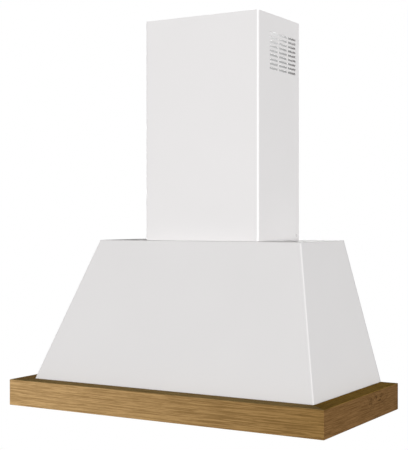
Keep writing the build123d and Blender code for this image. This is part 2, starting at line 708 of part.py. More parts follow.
def control_fascia():
    """The plate below the panel, with a rim that enters the aperture and a hole for each button."""
    plate = extrude(control_outline(0, PANEL_LEVEL - FASCIA_THICKNESS), FASCIA_THICKNESS)
    rim = extrude(control_outline(FASCIA_LIP + PANEL_CLEARANCE, PANEL_LEVEL), FASCIA_RIM_HEIGHT)
    rim -= extrude(control_outline(FASCIA_LIP + PANEL_CLEARANCE + FASCIA_RIM, PANEL_LEVEL), FASCIA_RIM_HEIGHT)
    floor = PANEL_LEVEL - FASCIA_THICKNESS
    radius = BUTTON_RADIUS + BUTTON_CLEARANCE
    holes = [rod((x, STRIP_Y, floor), (0, 0, 1), radius, FASCIA_THICKNESS) for x in button_xs()]
    return cut_all(plate + rim, holes)


def button(x):
    """A push button: crowned cap, flange behind the fascia and stem towards its switch."""
    up = (0, 0, 1)
    low = PANEL_LEVEL - FASCIA_THICKNESS - BUTTON_PROUD
    seat = PANEL_LEVEL + BUTTON_FLANGE_GAP
    cap = rod((x, STRIP_Y, low), up, BUTTON_RADIUS, seat - low)
    cap = fillet(cap.edges().group_by(Axis.Z)[0], BUTTON_CROWN)
    flange = rod((x, STRIP_Y, seat), up, BUTTON_RADIUS + BUTTON_FLANGE, BUTTON_FLANGE_HEIGHT)
    return cap + flange + rod((x, STRIP_Y, seat + BUTTON_FLANGE_HEIGHT), up, BUTTON_STEM_RADIUS, BUTTON_STEM)


def switch_floor():
    """The underside of the switches, just above a fully pressed button."""
    stem_top = PANEL_LEVEL + BUTTON_FLANGE_GAP + BUTTON_FLANGE_HEIGHT + BUTTON_STEM
    return stem_top + BUTTON_TRAVEL + SWITCH_GAP


def board_posts():
    """The four posts above the board, as (x, y)."""
    half_x = FASCIA_WIDTH / 2 - FASCIA_LIP - 3 * BOARD_POST_RADIUS
    half_y = FASCIA_DEPTH / 2 - FASCIA_LIP - 2 * BOARD_POST_RADIUS
    return [(x, STRIP_Y + y) for x in (-half_x, half_x) for y in (-half_y, half_y)]


def control_box():
    """The cover over the switches, with posts that hold the board."""
    inset = FASCIA_LIP - CONTROL_BOX_WALL
    roof = PANEL_TOP + CONTROL_BOX_HEIGHT
    box = extrude(control_outline(inset, PANEL_TOP), CONTROL_BOX_HEIGHT)
    box -= control_aperture(PANEL_TOP, CONTROL_BOX_HEIGHT - CONTROL_BOX_WALL)
    seat = switch_floor() + SWITCH_HEIGHT + BOARD_THICKNESS
    for x, y in board_posts():
        box += rod((x, y, seat), (0, 0, 1), BOARD_POST_RADIUS, roof - CONTROL_BOX_WALL - seat)
    return box


def control_board():
    """The circuit board with one switch above each button."""
    level = switch_floor() + SWITCH_HEIGHT
    board = extrude(control_outline(FASCIA_LIP + BOARD_CLEARANCE, level), BOARD_THICKNESS)
    half = SWITCH_SIZE / 2
    for x in button_xs():
        board += block(x - half, x + half, STRIP_Y - half, STRIP_Y + half, switch_floor(), level)
    return board


# Blower


def volute(wall):
    """The scroll's outline in (y, z), grown outward by a wall: three quarter circles and the outlet neck."""
    radii = [VOLUTE_RADIUS + step * VOLUTE_STEP + wall for step in range(3)]
    upper, lower, rear = radii
    hub = Pos(AXIS_Y, AXIS_Z)
    low_hub = Pos(AXIS_Y + VOLUTE_STEP, AXIS_Z)
    rear_hub = Pos(AXIS_Y + VOLUTE_STEP, AXIS_Z + VOLUTE_STEP)
    front_top = hub * (Circle(upper) & Pos(-upper / 2, upper / 2) * Rectangle(upper, upper))
    front_low = low_hub * (Circle(lower) & Pos(-lower / 2, -lower / 2) * Rectangle(lower, lower))
    back_low = rear_hub * (Circle(rear) & Pos(rear / 2, -rear / 2) * Rectangle(rear, rear))
    depth = NECK_DEPTH + 2 * wall
    neck = Pos(COLLAR_Y, (AXIS_Z + NECK_TOP) / 2) * Rectangle(depth, NECK_TOP - AXIS_Z)
    return front_top + front_low + back_low + neck


def casing_half(side):
    """One half of the blower's casing, with its inlet and its half of the flange under the canopy's top."""
    outer = extrude(Plane.YZ * volute(CASING_WALL), CASING_HALF + CASING_WALL)
    inner = extrude(Plane.YZ * volute(0), CASING_HALF)
    half = COLLAR_PLATE_WIDTH / 2
    flange = block(0, half, COLLAR_Y - half, COLLAR_Y + half, NECK_TOP - CASING_FLANGE, NECK_TOP)
    inlet = rod((CASING_HALF, AXIS_Y, AXIS_Z), (1, 0, 0), INLET_RADIUS, CASING_WALL)
    shell = outer + flange - inner - inlet
    if side < 0:
        shell = mirror(shell, about=Plane.YZ)
    return cut_all(shell, collar_screw_holes() + bracket_screw_holes())


def impeller():
    """The double-inlet impeller: disc, hub, end rings and leaning blades."""
    axis = Plane(origin=(0, AXIS_Y, AXIS_Z), x_dir=(0, 1, 0), z_dir=(1, 0, 0))
    middle = IMPELLER_RADIUS - BLADE_DEPTH / 2
    blade = Pos(middle, 0) * Rot(0, 0, BLADE_LEAN) * Rectangle(BLADE_DEPTH, BLADE_THICKNESS)
    blades = Sketch() + [turn * blade for turn in PolarLocations(0, BLADE_COUNT)]
    wheel = extrude(axis * blades, IMPELLER_HALF_WIDTH, both=True)
    wheel += extrude(axis * Circle(IMPELLER_RADIUS), IMPELLER_DISC / 2, both=True)
    ring = axis * (Circle(IMPELLER_RADIUS) - Circle(IMPELLER_RADIUS - IMPELLER_RING_WIDTH))
    start = IMPELLER_HALF_WIDTH - IMPELLER_RING
    for side in SIDES.values():
        wheel += Pos(side * (start + IMPELLER_RING / 2), 0, 0) * extrude(ring, IMPELLER_RING / 2, both=True)
    wheel += extrude(axis * Circle(HUB_RADIUS), HUB_HALF_LENGTH, both=True)
    return wheel - extrude(axis * Circle(SHAFT_RADIUS + SCREW_CLEARANCE), HUB_HALF_LENGTH, both=True)


def motor_shaft():
    """The shaft through the motor and the impeller's hub."""
    start = MOTOR_INNER_END - MOTOR_LENGTH - SHAFT_TAIL
    return rod((start, AXIS_Y, AXIS_Z), (1, 0, 0), SHAFT_RADIUS, HUB_HALF_LENGTH - start)


def bearing_starts():
    """Where the motor's two bearings begin along X."""
    outer = MOTOR_INNER_END - MOTOR_LENGTH
    return [outer, MOTOR_INNER_END - BEARING_WIDTH]


def bracket_outer():
    """The outer face of the left casing's side wall, along X."""
    return -CASING_HALF - CASING_WALL


def motor():
    """The motor: a round body with bearing pockets and a flange on the bracket."""
    start = MOTOR_INNER_END - MOTOR_LENGTH
    along = (1, 0, 0)
    body = rod((start, AXIS_Y, AXIS_Z), along, MOTOR_RADIUS, MOTOR_LENGTH)
    body = fillet(body.edges().filter_by(GeomType.CIRCLE), BRACKET_SHEET)
    seat = bracket_outer() - BRACKET_SHEET
    body += rod((seat, AXIS_Y, AXIS_Z), (-1, 0, 0), MOTOR_RADIUS + MOTOR_FLANGE, MOTOR_FLANGE_SHEET)
    body -= rod((start, AXIS_Y, AXIS_Z), along, SHAFT_RADIUS + BRACKET_SHEET, MOTOR_LENGTH)
    pocket = BEARING_RADIUS + SCREW_CLEARANCE
    return cut_all(body, [rod((x, AXIS_Y, AXIS_Z), along, pocket, BEARING_WIDTH) for x in bearing_starts()])


def motor_bearings():
    """The two bearings, as plain rings around the shaft."""
    along = (1, 0, 0)
    bore = SHAFT_RADIUS + RUNNING_CLEARANCE
    starts = [(x, AXIS_Y, AXIS_Z) for x in bearing_starts()]
    return group([rod(start, along, BEARING_RADIUS, BEARING_WIDTH) - rod(start, along, bore, BEARING_WIDTH)
                  for start in starts])


def bracket_arm_angles():
    """The directions of the motor bracket's arms, in degrees from +Y towards +Z."""
    return [150.0 + 360.0 * i / BRACKET_ARMS for i in range(BRACKET_ARMS)]


def bracket_screw_seats():
    """Head seats on the motor bracket, over the casing's side wall."""
    reach = INLET_RADIUS + BRACKET_REACH / 2
    x = bracket_outer() - BRACKET_SHEET
    turns = [radians(angle) for angle in bracket_arm_angles()]
    return [(x, AXIS_Y + reach * cos(turn), AXIS_Z + reach * sin(turn)) for turn in turns]


def bracket_screw_length():
    """Through the bracket and the casing's wall, flush inside."""
    return BRACKET_SHEET + CASING_WALL


def bracket_screw_holes():
    """Holes for the bracket screws."""
    return [screw_hole(seat, (1, 0, 0), bracket_screw_length()) for seat in bracket_screw_seats()]


def motor_bracket():
    """The spider that carries the motor on the left casing: a ring with arms."""
    plane = Plane(origin=(bracket_outer(), AXIS_Y, AXIS_Z), x_dir=(0, 1, 0), z_dir=(1, 0, 0))
    reach = INLET_RADIUS + BRACKET_REACH
    spider = Circle(MOTOR_RADIUS + BRACKET_RING)
    for angle in bracket_arm_angles():
        spider += Rot(0, 0, angle) * (Pos(reach / 2, 0) * Rectangle(reach, BRACKET_ARM_WIDTH))
    spider -= Circle(MOTOR_RADIUS + SCREW_CLEARANCE)
    return cut_all(extrude(plane * spider, -BRACKET_SHEET), bracket_screw_holes())


def motor_bracket_screws():
    """The screws of the motor bracket."""
    return group([screw(seat, (1, 0, 0), bracket_screw_length()) for seat in bracket_screw_seats()])


def run_capacitor():
    """The motor's capacitor, on a flat foot on the right casing's neck."""
    face = CASING_HALF + CASING_WALL
    top = NECK_TOP - CAPACITOR_DROP
    low = top - CAPACITOR_LENGTH
    radius, foot = CAPACITOR_RADIUS, CAPACITOR_FOOT
    plate = block(face, face + foot, COLLAR_Y - radius, COLLAR_Y + radius, low, top)
    rib = block(face, face + radius, COLLAR_Y - foot, COLLAR_Y + foot, low, top)
    return plate + rib + rod((face + foot + radius, COLLAR_Y, low), (0, 0, 1), radius, CAPACITOR_LENGTH)


# Outlet collar and damper


def collar_screw_seats():
    """Head seats on the collar's plate."""
    reach = COLLAR_PLATE_WIDTH / 2 - COLLAR_SCREW_INSET
    level = CANOPY_TOP + COLLAR_PLATE_SHEET
    return [(x, COLLAR_Y + y, level) for x in (-reach, reach) for y in (-reach, reach)]


def collar_screw_length():
    """Through the collar's plate, the canopy's top and the casing's flange."""
    return COLLAR_PLATE_SHEET + CANOPY_SHEET + CASING_FLANGE + SCREW_TIP


def collar_screw_holes():
    """Holes for the collar screws."""
    return [screw_hole(seat, (0, 0, -1), collar_screw_length()) for seat in collar_screw_seats()]


def damper_axis_y(way):
    """Where a flap's pin lies, in front of the middle or behind it."""
    return COLLAR_Y + way * DAMPER_AXIS_OFFSET


def damper_axis_z():
    """The level of the flaps' pins."""
    return CANOPY_TOP + DAMPER_LEVEL + DAMPER_STOP_GAP + DAMPER_SHEET / 2


def damper_pin_reach():
    """Half a pin's length, flush with the outside of the spigot."""
    return sqrt(OUTLET_RADIUS ** 2 - (DAMPER_AXIS_OFFSET + DAMPER_PIN_RADIUS) ** 2)


def damper_pin_rods(radius):
    """Rods along both pins."""
    reach = damper_pin_reach()
    starts = [(-reach, damper_axis_y(way), damper_axis_z()) for way in (-1, 1)]
    return [rod(start, (1, 0, 0), radius, 2 * reach) for start in starts]


def outlet_collar():
    """The collar: plate on the canopy, spigot for the duct and the ring that the flaps rest on."""
    up = (0, 0, 1)
    half = COLLAR_PLATE_WIDTH / 2
    plate_top = CANOPY_TOP + COLLAR_PLATE_SHEET
    collar = block(-half, half, COLLAR_Y - half, COLLAR_Y + half, CANOPY_TOP, plate_top)
    collar += rod((0, COLLAR_Y, CANOPY_TOP), up, OUTLET_RADIUS, OUTLET_HEIGHT)
    stop_floor = CANOPY_TOP + DAMPER_LEVEL - DAMPER_STOP_SHEET
    stop = rod((0, COLLAR_Y, stop_floor), up, OUTLET_BORE, DAMPER_STOP_SHEET)
    stop -= rod((0, COLLAR_Y, stop_floor), up, OUTLET_BORE - DAMPER_STOP_WIDTH, DAMPER_STOP_SHEET)
    collar = collar - rod((0, COLLAR_Y, CANOPY_TOP), up, OUTLET_BORE, OUTLET_HEIGHT) + stop
    return cut_all(collar, damper_pin_rods(DAMPER_PIN_RADIUS + SCREW_CLEARANCE) + collar_screw_holes())


def damper_pins():
    """The two pins across the spigot."""
    return group(damper_pin_rods(DAMPER_PIN_RADIUS))


def damper_flap(way):
    """A half-round flap with a barrel around its pin."""
    radius = OUTLET_BORE - DAMPER_GAP
    barrel = DAMPER_PIN_RADIUS + DAMPER_BARREL_WALL
    floor = CANOPY_TOP + DAMPER_LEVEL + DAMPER_STOP_GAP
    edge = DAMPER_AXIS_OFFSET + DAMPER_PIN_RADIUS + DAMPER_BARREL_WALL / 2
    half_disc = Circle(radius) & Pos(0, way * (edge + radius / 2)) * Rectangle(2 * radius, radius)
    leaf = extrude(Pos(0, COLLAR_Y, floor) * half_disc, DAMPER_SHEET)
    reach = damper_pin_reach() - DAMPER_BARREL_END
    start = (-reach, damper_axis_y(way), damper_axis_z())
    flap = leaf + rod(start, (1, 0, 0), barrel, 2 * reach)
    return flap - rod(start, (1, 0, 0), DAMPER_PIN_RADIUS + RUNNING_CLEARANCE, 2 * reach)


def collar_screws():
    """The screws that hold the collar and the blower to the canopy's top."""
    return group([screw(seat, (0, 0, -1), collar_screw_length()) for seat in collar_screw_seats()])


# Chimney


def sleeve(inset, bottom, top, vent_margin):
    """A folded sleeve along the wall: front, two sides and a narrow flange behind each side."""
    half = CHIMNEY_WIDTH / 2 - inset
    front, back = inset - CHIMNEY_DEPTH, -inset
    fold = CHIMNEY_FOLD - inset
    sheet = CHIMNEY_SHEET
    outer = extrude(plan(half, front, back, fold, bottom), top - bottom)
    inner = extrude(plan(half - sheet, front + sheet, back - sheet, fold - sheet, bottom), top - bottom)
    gap = half - CHIMNEY_FLANGE
    return outer - inner - block(-gap, gap, back - sheet, back, bottom, top) - vent_slots(vent_margin)


def vent_slots(margin):
    """The vent slots through both sides, in columns from the wall and rows from the top.

    A margin is added above and below each slot, and twice at its end towards the wall.
    """
    slot = SlotOverall(VENT_LENGTH + 2 * margin, VENT_HEIGHT + 2 * margin)
    slots = Sketch()
    for column in range(VENT_COLUMNS):
        y = margin - VENT_WALL_DISTANCE - column * VENT_PITCH_Y
        for row in range(VENT_ROWS):
            z = CHIMNEY_TOP - VENT_TOP_DISTANCE - row * VENT_PITCH_Z
            slots += Pos(y, z) * slot
    return extrude(Plane.YZ * slots, CHIMNEY_WIDTH / 2, both=True)


def chimney_cover():
    """The chimney's outer sleeve, standing on the canopy."""
    return cut_all(sleeve(0, CANOPY_TOP, CHIMNEY_TOP, 0), chimney_screw_holes())


def chimney_extension():
    """The inner sleeve that slides up to the ceiling. Its vents are a little larger than the cover's."""
    body = sleeve(SLEEVE_INSET, BASE_BRACKET_TOP, EXTENSION_TOP, VENT_INNER_MARGIN)
    return cut_all(body, wall_bracket_screw_holes())


def chimney_screw_seats():
    """Head seats on the cover's sides, and the way in."""
    x = CHIMNEY_WIDTH / 2
    y, z = -CHIMNEY_SCREW_WALL_DISTANCE, CANOPY_TOP + CHIMNEY_SCREW_RISE
    return [((side * x, y, z), (-side, 0, 0)) for side in SIDES.values()]


def chimney_screw_length():
    """Through the cover and the base bracket."""
    return CHIMNEY_SHEET + BASE_BRACKET_SHEET + SCREW_TIP


def chimney_screw_holes():
    """Holes for the chimney screws."""
    return [screw_hole(seat, way, chimney_screw_length()) for seat, way in chimney_screw_seats()]


def chimney_screws():
    """The screws low on the chimney's sides."""
    return group([screw(seat, way, chimney_screw_length()) for seat, way in chimney_screw_seats()])


def chimney_base_brackets():
    """Two angles on the canopy's top, inside the cover, that also stop the extension."""
    outer = CHIMNEY_WIDTH / 2 - CHIMNEY_SHEET
    front = -CHIMNEY_DEPTH + CHIMNEY_FOLD + BASE_BRACKET_END_GAP
    back = -CHIMNEY_SHEET - BASE_BRACKET_END_GAP
    upright = block(outer - BASE_BRACKET_SHEET, outer, front, back, CANOPY_TOP, BASE_BRACKET_TOP)
    foot = block(outer - BASE_BRACKET_FOOT, outer, front, back, CANOPY_TOP, CANOPY_TOP + BASE_BRACKET_SHEET)
    angle = upright + foot
    return group([cut_all(piece, chimney_screw_holes()) for piece in (mirror(angle, about=Plane.YZ), angle)])


def wall_bracket_level():
    """The underside of the upper wall bracket."""
    return EXTENSION_TOP - WALL_BRACKET_DROP - WALL_BRACKET_HEIGHT


def wall_bracket_screw_seats():
    """Head seats on the wall bracket's ends."""
    x = EXTENSION_HALF - CHIMNEY_FLANGE / 2
    y = EXTENSION_FLANGE_FRONT - WALL_BRACKET_SHEET
    return [(side * x, y, wall_bracket_level() + WALL_BRACKET_HEIGHT / 2) for side in SIDES.values()]


def wall_bracket_screw_holes():
    """Holes through the bracket's ends and the extension's flanges."""
    length = WALL_BRACKET_SHEET + CHIMNEY_SHEET
    return [screw_hole(seat, (0, 1, 0), length) for seat in wall_bracket_screw_seats()]


def chimney_wall_bracket():
    """The strip that holds the extension to the wall, stepped at its ends onto the extension's flanges."""
    end = EXTENSION_HALF - CHIMNEY_SHEET
    knee = EXTENSION_HALF - CHIMNEY_FLANGE - SLEEVE_GAP
    middle = knee - WALL_BRACKET_JOGGLE
    step = EXTENSION_FLANGE_FRONT
    rear = [(-end, step), (-knee, step), (-middle, 0), (middle, 0), (knee, step), (end, step)]
    front = [(x, y - WALL_BRACKET_SHEET) for x, y in reversed(rear)]
    strip = standing_plate(rear + front, wall_bracket_level(), WALL_BRACKET_HEIGHT)
    level = wall_bracket_level() + WALL_BRACKET_HEIGHT / 2
    half, radius = WALL_BRACKET_HOLE_SPACING / 2, WALL_BRACKET_HOLE_RADIUS
    holes = [rod((x, 0, level), (0, -1, 0), radius, WALL_BRACKET_SHEET) for x in (-half, half)]
    return cut_all(strip, holes + wall_bracket_screw_holes())


def wall_bracket_screws():
    """The screws that hold the wall bracket to the extension."""
    length = WALL_BRACKET_SHEET + CHIMNEY_SHEET
    return group([screw(seat, (0, 1, 0), length) for seat in wall_bracket_screw_seats()])


# Terminal box, grommet and inner lead


def terminal_centre():
    """The terminal box stands beside the canopy's rear flange, clear of it where the canopy is narrower."""
    flange_edge = canopy_half_width(TERMINAL_LEVEL + TERMINAL_HEIGHT) - REAR_FLANGE
    return flange_edge - TERMINAL_FLANGE_GAP - TERMINAL_WIDTH / 2


def terminal_box():
    """The box on the back panel where the mains lead ends."""
    half = TERMINAL_WIDTH / 2
    x0, x1 = terminal_centre() - half, terminal_centre() + half
    front, back = -BACK_SHEET - TERMINAL_DEPTH, -BACK_SHEET
    low, high = TERMINAL_LEVEL, TERMINAL_LEVEL + TERMINAL_HEIGHT
    wall = TERMINAL_WALL
    hollow = block(x0 + wall, x1 - wall, front + wall, back - wall, low + wall, high - wall)
    return block(x0, x1, front, back, low, high) - hollow


def grommet_place(level):
    """A point on the grommet's axis."""
    return (GROMMET_X, -GROMMET_WALL_DISTANCE, level)


def cable_grommet():
    """The rubber grommet in the canopy's top, with a flange on each side of the sheet."""
    up = (0, 0, 1)
    height = CANOPY_SHEET + 2 * GROMMET_FLANGE
    ring = rod(grommet_place(NECK_TOP - GROMMET_FLANGE), up, GROMMET_FLANGE_RADIUS, GROMMET_FLANGE)
    ring += rod(grommet_place(CANOPY_TOP), up, GROMMET_FLANGE_RADIUS, GROMMET_FLANGE)
    ring += rod(grommet_place(NECK_TOP), up, GROMMET_NECK_RADIUS - SCREW_CLEARANCE, CANOPY_SHEET)
    return ring - rod(grommet_place(NECK_TOP - GROMMET_FLANGE), up, GROMMET_BORE, height)


def lead_corners():
    """The lead's corners: from the control box, round a lamp, along the rim and up to the terminal box."""
    z = PANEL_TOP + LEAD_RADIUS + LEAD_SEAT_GAP
    box_end = FASCIA_WIDTH / 2 - FASCIA_LIP + CONTROL_BOX_WALL
    front = PANEL_FRONT + PANEL_SHEET + LEAD_RIM_DISTANCE
    right = PANEL_HALF_WIDTH - PANEL_SHEET - LEAD_SIDE_DISTANCE
    back = -BACK_SHEET - TERMINAL_DEPTH / 2
    turn = 2 * LEAD_BEND
    along_panel = [(box_end, STRIP_Y), (box_end + turn, STRIP_Y), (box_end + 2 * turn, front), (right, front),
                   (right, back), (terminal_centre(), back)]
    return [(x, y, z) for x, y in along_panel] + [(terminal_centre(), back, TERMINAL_LEVEL)]


def control_lead():
    """The lead from the controls to the terminal box, as straight runs joined by arcs."""
    path = FilletPolyline(*lead_corners(), radius=LEAD_BEND)
    lead = sweep(Plane(origin=path @ 0, z_dir=path % 0) * Circle(LEAD_RADIUS), path=path)
    expected = path.length * Circle(LEAD_RADIUS).area
    print("lead volume", round(lead.volume), "section times length", round(expected))
    return lead


def lead_clips():
    """Saddle clips that hold the lead on the bottom panel, one on each long run."""
    corners = [Vector(corner) for corner in lead_corners()]
    up = Vector(0, 0, 1)
    side = LEAD_RADIUS + CLIP_CLEARANCE + CLIP_WALL
    clips = []
    for start, end in zip(corners[2:5], corners[3:6]):
        way = (end - start).normalized()
        middle = (start + end) / 2
        plane = Plane(origin=middle - way * (CLIP_LENGTH / 2), x_dir=up.cross(way), z_dir=way)
        drop = middle.Z - PANEL_TOP
        arch = Circle(side) & Pos(0, side / 2) * Rectangle(2 * side, side)
        saddle = arch + Pos(0, -drop / 2) * Rectangle(2 * side, drop)
        clips.append(extrude(plane * (saddle - Circle(LEAD_RADIUS + CLIP_CLEARANCE)), CLIP_LENGTH))
    return group(clips)


def all_nodes():
    """Every node of the hood, by name."""
    nodes = {
        "oak_front_rail": front_rail(),
        "mitre_dowels": mitre_dowels(),
        "rail_screws": rail_screws(),
        "canopy_shell": canopy_shell(),
        "back_panel": back_panel(),
        "back_panel_rivets": back_panel_rivets(),
        "bottom_panel": bottom_panel(),
        "filter_pivot_lugs": filter_pivot_lugs(),
        "control_fascia": control_fascia(),
        "control_box": control_box(),
        "control_board": control_board(),
        "impeller": impeller(),
        "motor_shaft": motor_shaft(),
        "motor": motor(),
        "motor_bearings": motor_bearings(),
        "motor_bracket": motor_bracket(),
        "motor_bracket_screws": motor_bracket_screws(),
        "run_capacitor": run_capacitor(),
        "outlet_collar": outlet_collar(),
        "damper_pins": damper_pins(),
        "damper_flap_front": damper_flap(-1),
        "damper_flap_rear": damper_flap(1),
        "collar_screws": collar_screws(),
        "chimney_cover": chimney_cover(),
        "chimney_extension": chimney_extension(),
        "chimney_screws": chimney_screws(),
        "chimney_base_brackets": chimney_base_brackets(),
        "chimney_wall_bracket": chimney_wall_bracket(),
        "wall_bracket_screws": wall_bracket_screws(),
        "terminal_box": terminal_box(),
        "cable_grommet": cable_grommet(),
        "control_lead": control_lead(),
        "lead_clips": lead_clips(),
    }
    for name, side in SIDES.items():
        nodes[f"oak_{name}_rail"] = side_rail(side)
        nodes[f"{name}_filter_frame"] = filter_frame(side)
        nodes[f"{name}_filter_mesh"] = filter_mesh(side)
        nodes[f"{name}_filter_latch"] = filter_latch(side)
        nodes[f"{name}_latch_spring"] = latch_spring(side)
        nodes[f"{name}_filter_keeper"] = filter_keeper(side)
        nodes[f"{name}_lamp_bezel"] = lamp_bezel(side)
        nodes[f"{name}_lamp_lens"] = lamp_lens(side)
        nodes[f"{name}_lamp_housing"] = lamp_housing(side)
        nodes[f"{name}_blower_casing"] = casing_half(side)
    for name, x in zip(BUTTON_NAMES, button_xs()):
        nodes[f"button_{name}"] = button(x)
    return nodes


os.makedirs("parts", exist_ok=True)
for node_name, shape in all_nodes().items():
    export_step(shape, f"parts/{node_name}.step")
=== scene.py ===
"""Looks, light and camera of a chimney range hood with an oak frame.

All lengths are metres in the hood's own frame: X to the right, Y into the wall, Z up. The origin is on the
wall plane, below the middle of the oak frame.
"""

import logging
import math
from dataclasses import dataclass, field
from enum import Enum
from typing import Any, Optional, Union

import bmesh
import bpy
import numpy as np
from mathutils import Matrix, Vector


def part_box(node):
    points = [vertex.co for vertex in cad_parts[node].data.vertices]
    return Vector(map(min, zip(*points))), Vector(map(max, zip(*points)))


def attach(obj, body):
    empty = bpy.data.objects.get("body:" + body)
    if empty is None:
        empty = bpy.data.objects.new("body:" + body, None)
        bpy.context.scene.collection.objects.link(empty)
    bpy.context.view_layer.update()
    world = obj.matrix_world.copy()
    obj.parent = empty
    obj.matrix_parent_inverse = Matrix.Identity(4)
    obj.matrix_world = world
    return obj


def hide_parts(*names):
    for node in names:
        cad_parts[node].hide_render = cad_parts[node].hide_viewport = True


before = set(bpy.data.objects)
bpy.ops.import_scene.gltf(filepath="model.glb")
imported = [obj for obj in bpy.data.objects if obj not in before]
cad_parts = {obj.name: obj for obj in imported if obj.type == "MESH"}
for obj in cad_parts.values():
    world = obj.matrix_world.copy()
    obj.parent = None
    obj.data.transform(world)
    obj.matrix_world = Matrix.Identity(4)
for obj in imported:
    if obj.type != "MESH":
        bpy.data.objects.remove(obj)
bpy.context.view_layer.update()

LOG = logging.getLogger("range_hood")
SHARP_ANGLE = math.radians(38.0)
MERGE_DISTANCE = 1e-6
FULL_TURN = 2.0 * math.pi

Colour = tuple[float, float, float]
Triple = tuple[float, float, float]
Pair = tuple[float, float]
Surface = tuple[np.ndarray, np.ndarray]
Seat = tuple[Triple, Triple]
Direction = Union[Triple, np.ndarray]

RIGHTWARD: Triple = (1.0, 0.0, 0.0)
LEFTWARD: Triple = (-1.0, 0.0, 0.0)
REARWARD: Triple = (0.0, 1.0, 0.0)
FRONTWARD: Triple = (0.0, -1.0, 0.0)
UPWARD: Triple = (0.0, 0.0, 1.0)
DOWNWARD: Triple = (0.0, 0.0, -1.0)
WHITE: Colour = (1.0, 1.0, 1.0)


class Side(Enum):
    """The hood's two sides, as the sign of X."""

    LEFT = -1
    RIGHT = 1

    @property
    def word(self) -> str:
        """The side's name as the nodes have it."""
        return self.name.lower()

    @property
    def outward(self) -> Triple:
        """The way out of the hood on this side."""
        return RIGHTWARD if self is Side.RIGHT else LEFTWARD

    @property
    def inward(self) -> Triple:
        """The way into the hood from this side."""
        return LEFTWARD if self is Side.RIGHT else RIGHTWARD


class Body(Enum):
    """The moving bodies that new pieces ride on."""

    HOOD = "hood"
    EXTENSION = "extension"
    FILTER_LEFT = "filter_left"
    FILTER_RIGHT = "filter_right"
    BUTTON_OFF = "button_off"
    BUTTON_LOW = "button_speed_low"
    BUTTON_MEDIUM = "button_speed_medium"
    BUTTON_HIGH = "button_speed_high"
    BUTTON_LIGHT = "button_light"


class Slot(Enum):
    """The record's material slots, by name."""

    WHITE_PAINT = "white_paint"
    ZINC = "zinc_steel"
    ALUMINIUM = "filter_aluminium"
    LENS = "lens"
    WHITE_PLASTIC = "white_plastic"
    BLACK_PLASTIC = "black_plastic"
    GREY_PLASTIC = "grey_plastic"
    RUBBER = "rubber"


class Grain(Enum):
    """Which way a rail's grain runs, as the turn about Z that lays it along X."""

    ALONG_X = 0.0
    ALONG_Y = math.pi / 2


# Shader expressions


class Value:
    """A number from a shader socket. Python's operators on it add Math nodes."""

    def __init__(self, recipe: "Recipe", socket: bpy.types.NodeSocket) -> None:
        """Keeps the socket and the recipe that it belongs to."""
        self.recipe = recipe
        self.socket = socket

    def _math(self, operation: str, first: "Number", second: "Number" = 0.0) -> "Value":
        """Adds one Math node.

        Args:
            operation: the node's operation.
            first: its first operand.
            second: its second operand.

        Returns:
            The node's result.
        """
        node = self.recipe.add("ShaderNodeMath", {"operation": operation}, {0: first, 1: second})
        return Value(self.recipe, node.outputs[0])

    def __add__(self, other: "Number") -> "Value":
        """The sum of both."""
        return self._math("ADD", self, other)

    def __radd__(self, other: float) -> "Value":
        """The sum of both, with the number first."""
        return self._math("ADD", other, self)

    def __sub__(self, other: "Number") -> "Value":
        """This less the other."""
        return self._math("SUBTRACT", self, other)

    def __rsub__(self, other: float) -> "Value":
        """The number less this."""
        return self._math("SUBTRACT", other, self)

    def __mul__(self, other: "Number") -> "Value":
        """The product of both."""
        return self._math("MULTIPLY", self, other)

    def __rmul__(self, other: float) -> "Value":
        """The product of both, with the number first."""
        return self._math("MULTIPLY", other, self)

    def __truediv__(self, other: "Number") -> "Value":
        """This over the other."""
        return self._math("DIVIDE", self, other)

    def __pow__(self, other: "Number") -> "Value":
        """This to a power."""
        return self._math("POWER", self, other)

    def __rpow__(self, other: float) -> "Value":
        """The number to this power."""
        return self._math("POWER", other, self)

    def fraction(self) -> "Value":
        """The part after the decimal point."""
        return self._math("FRACT", self)

    def step(self, low: float, high: float) -> "Value":
        """A smooth rise from 0 at low to 1 at high.

        Args:
            low: where the rise starts.
            high: where it ends.

        Returns:
            The risen value.
        """
        limits = {"Value": self, "From Min": low, "From Max": high}
        node = self.recipe.add("ShaderNodeMapRange", {"interpolation_type": "SMOOTHSTEP"}, limits)
        return Value(self.recipe, node.outputs[0])


Number = Union[Value, float]


def shaded(colour: Colour, factor: float) -> Colour:
    """A colour times a number, with no part over 1."""
    return tuple(min(1.0, part * factor) for part in colour)


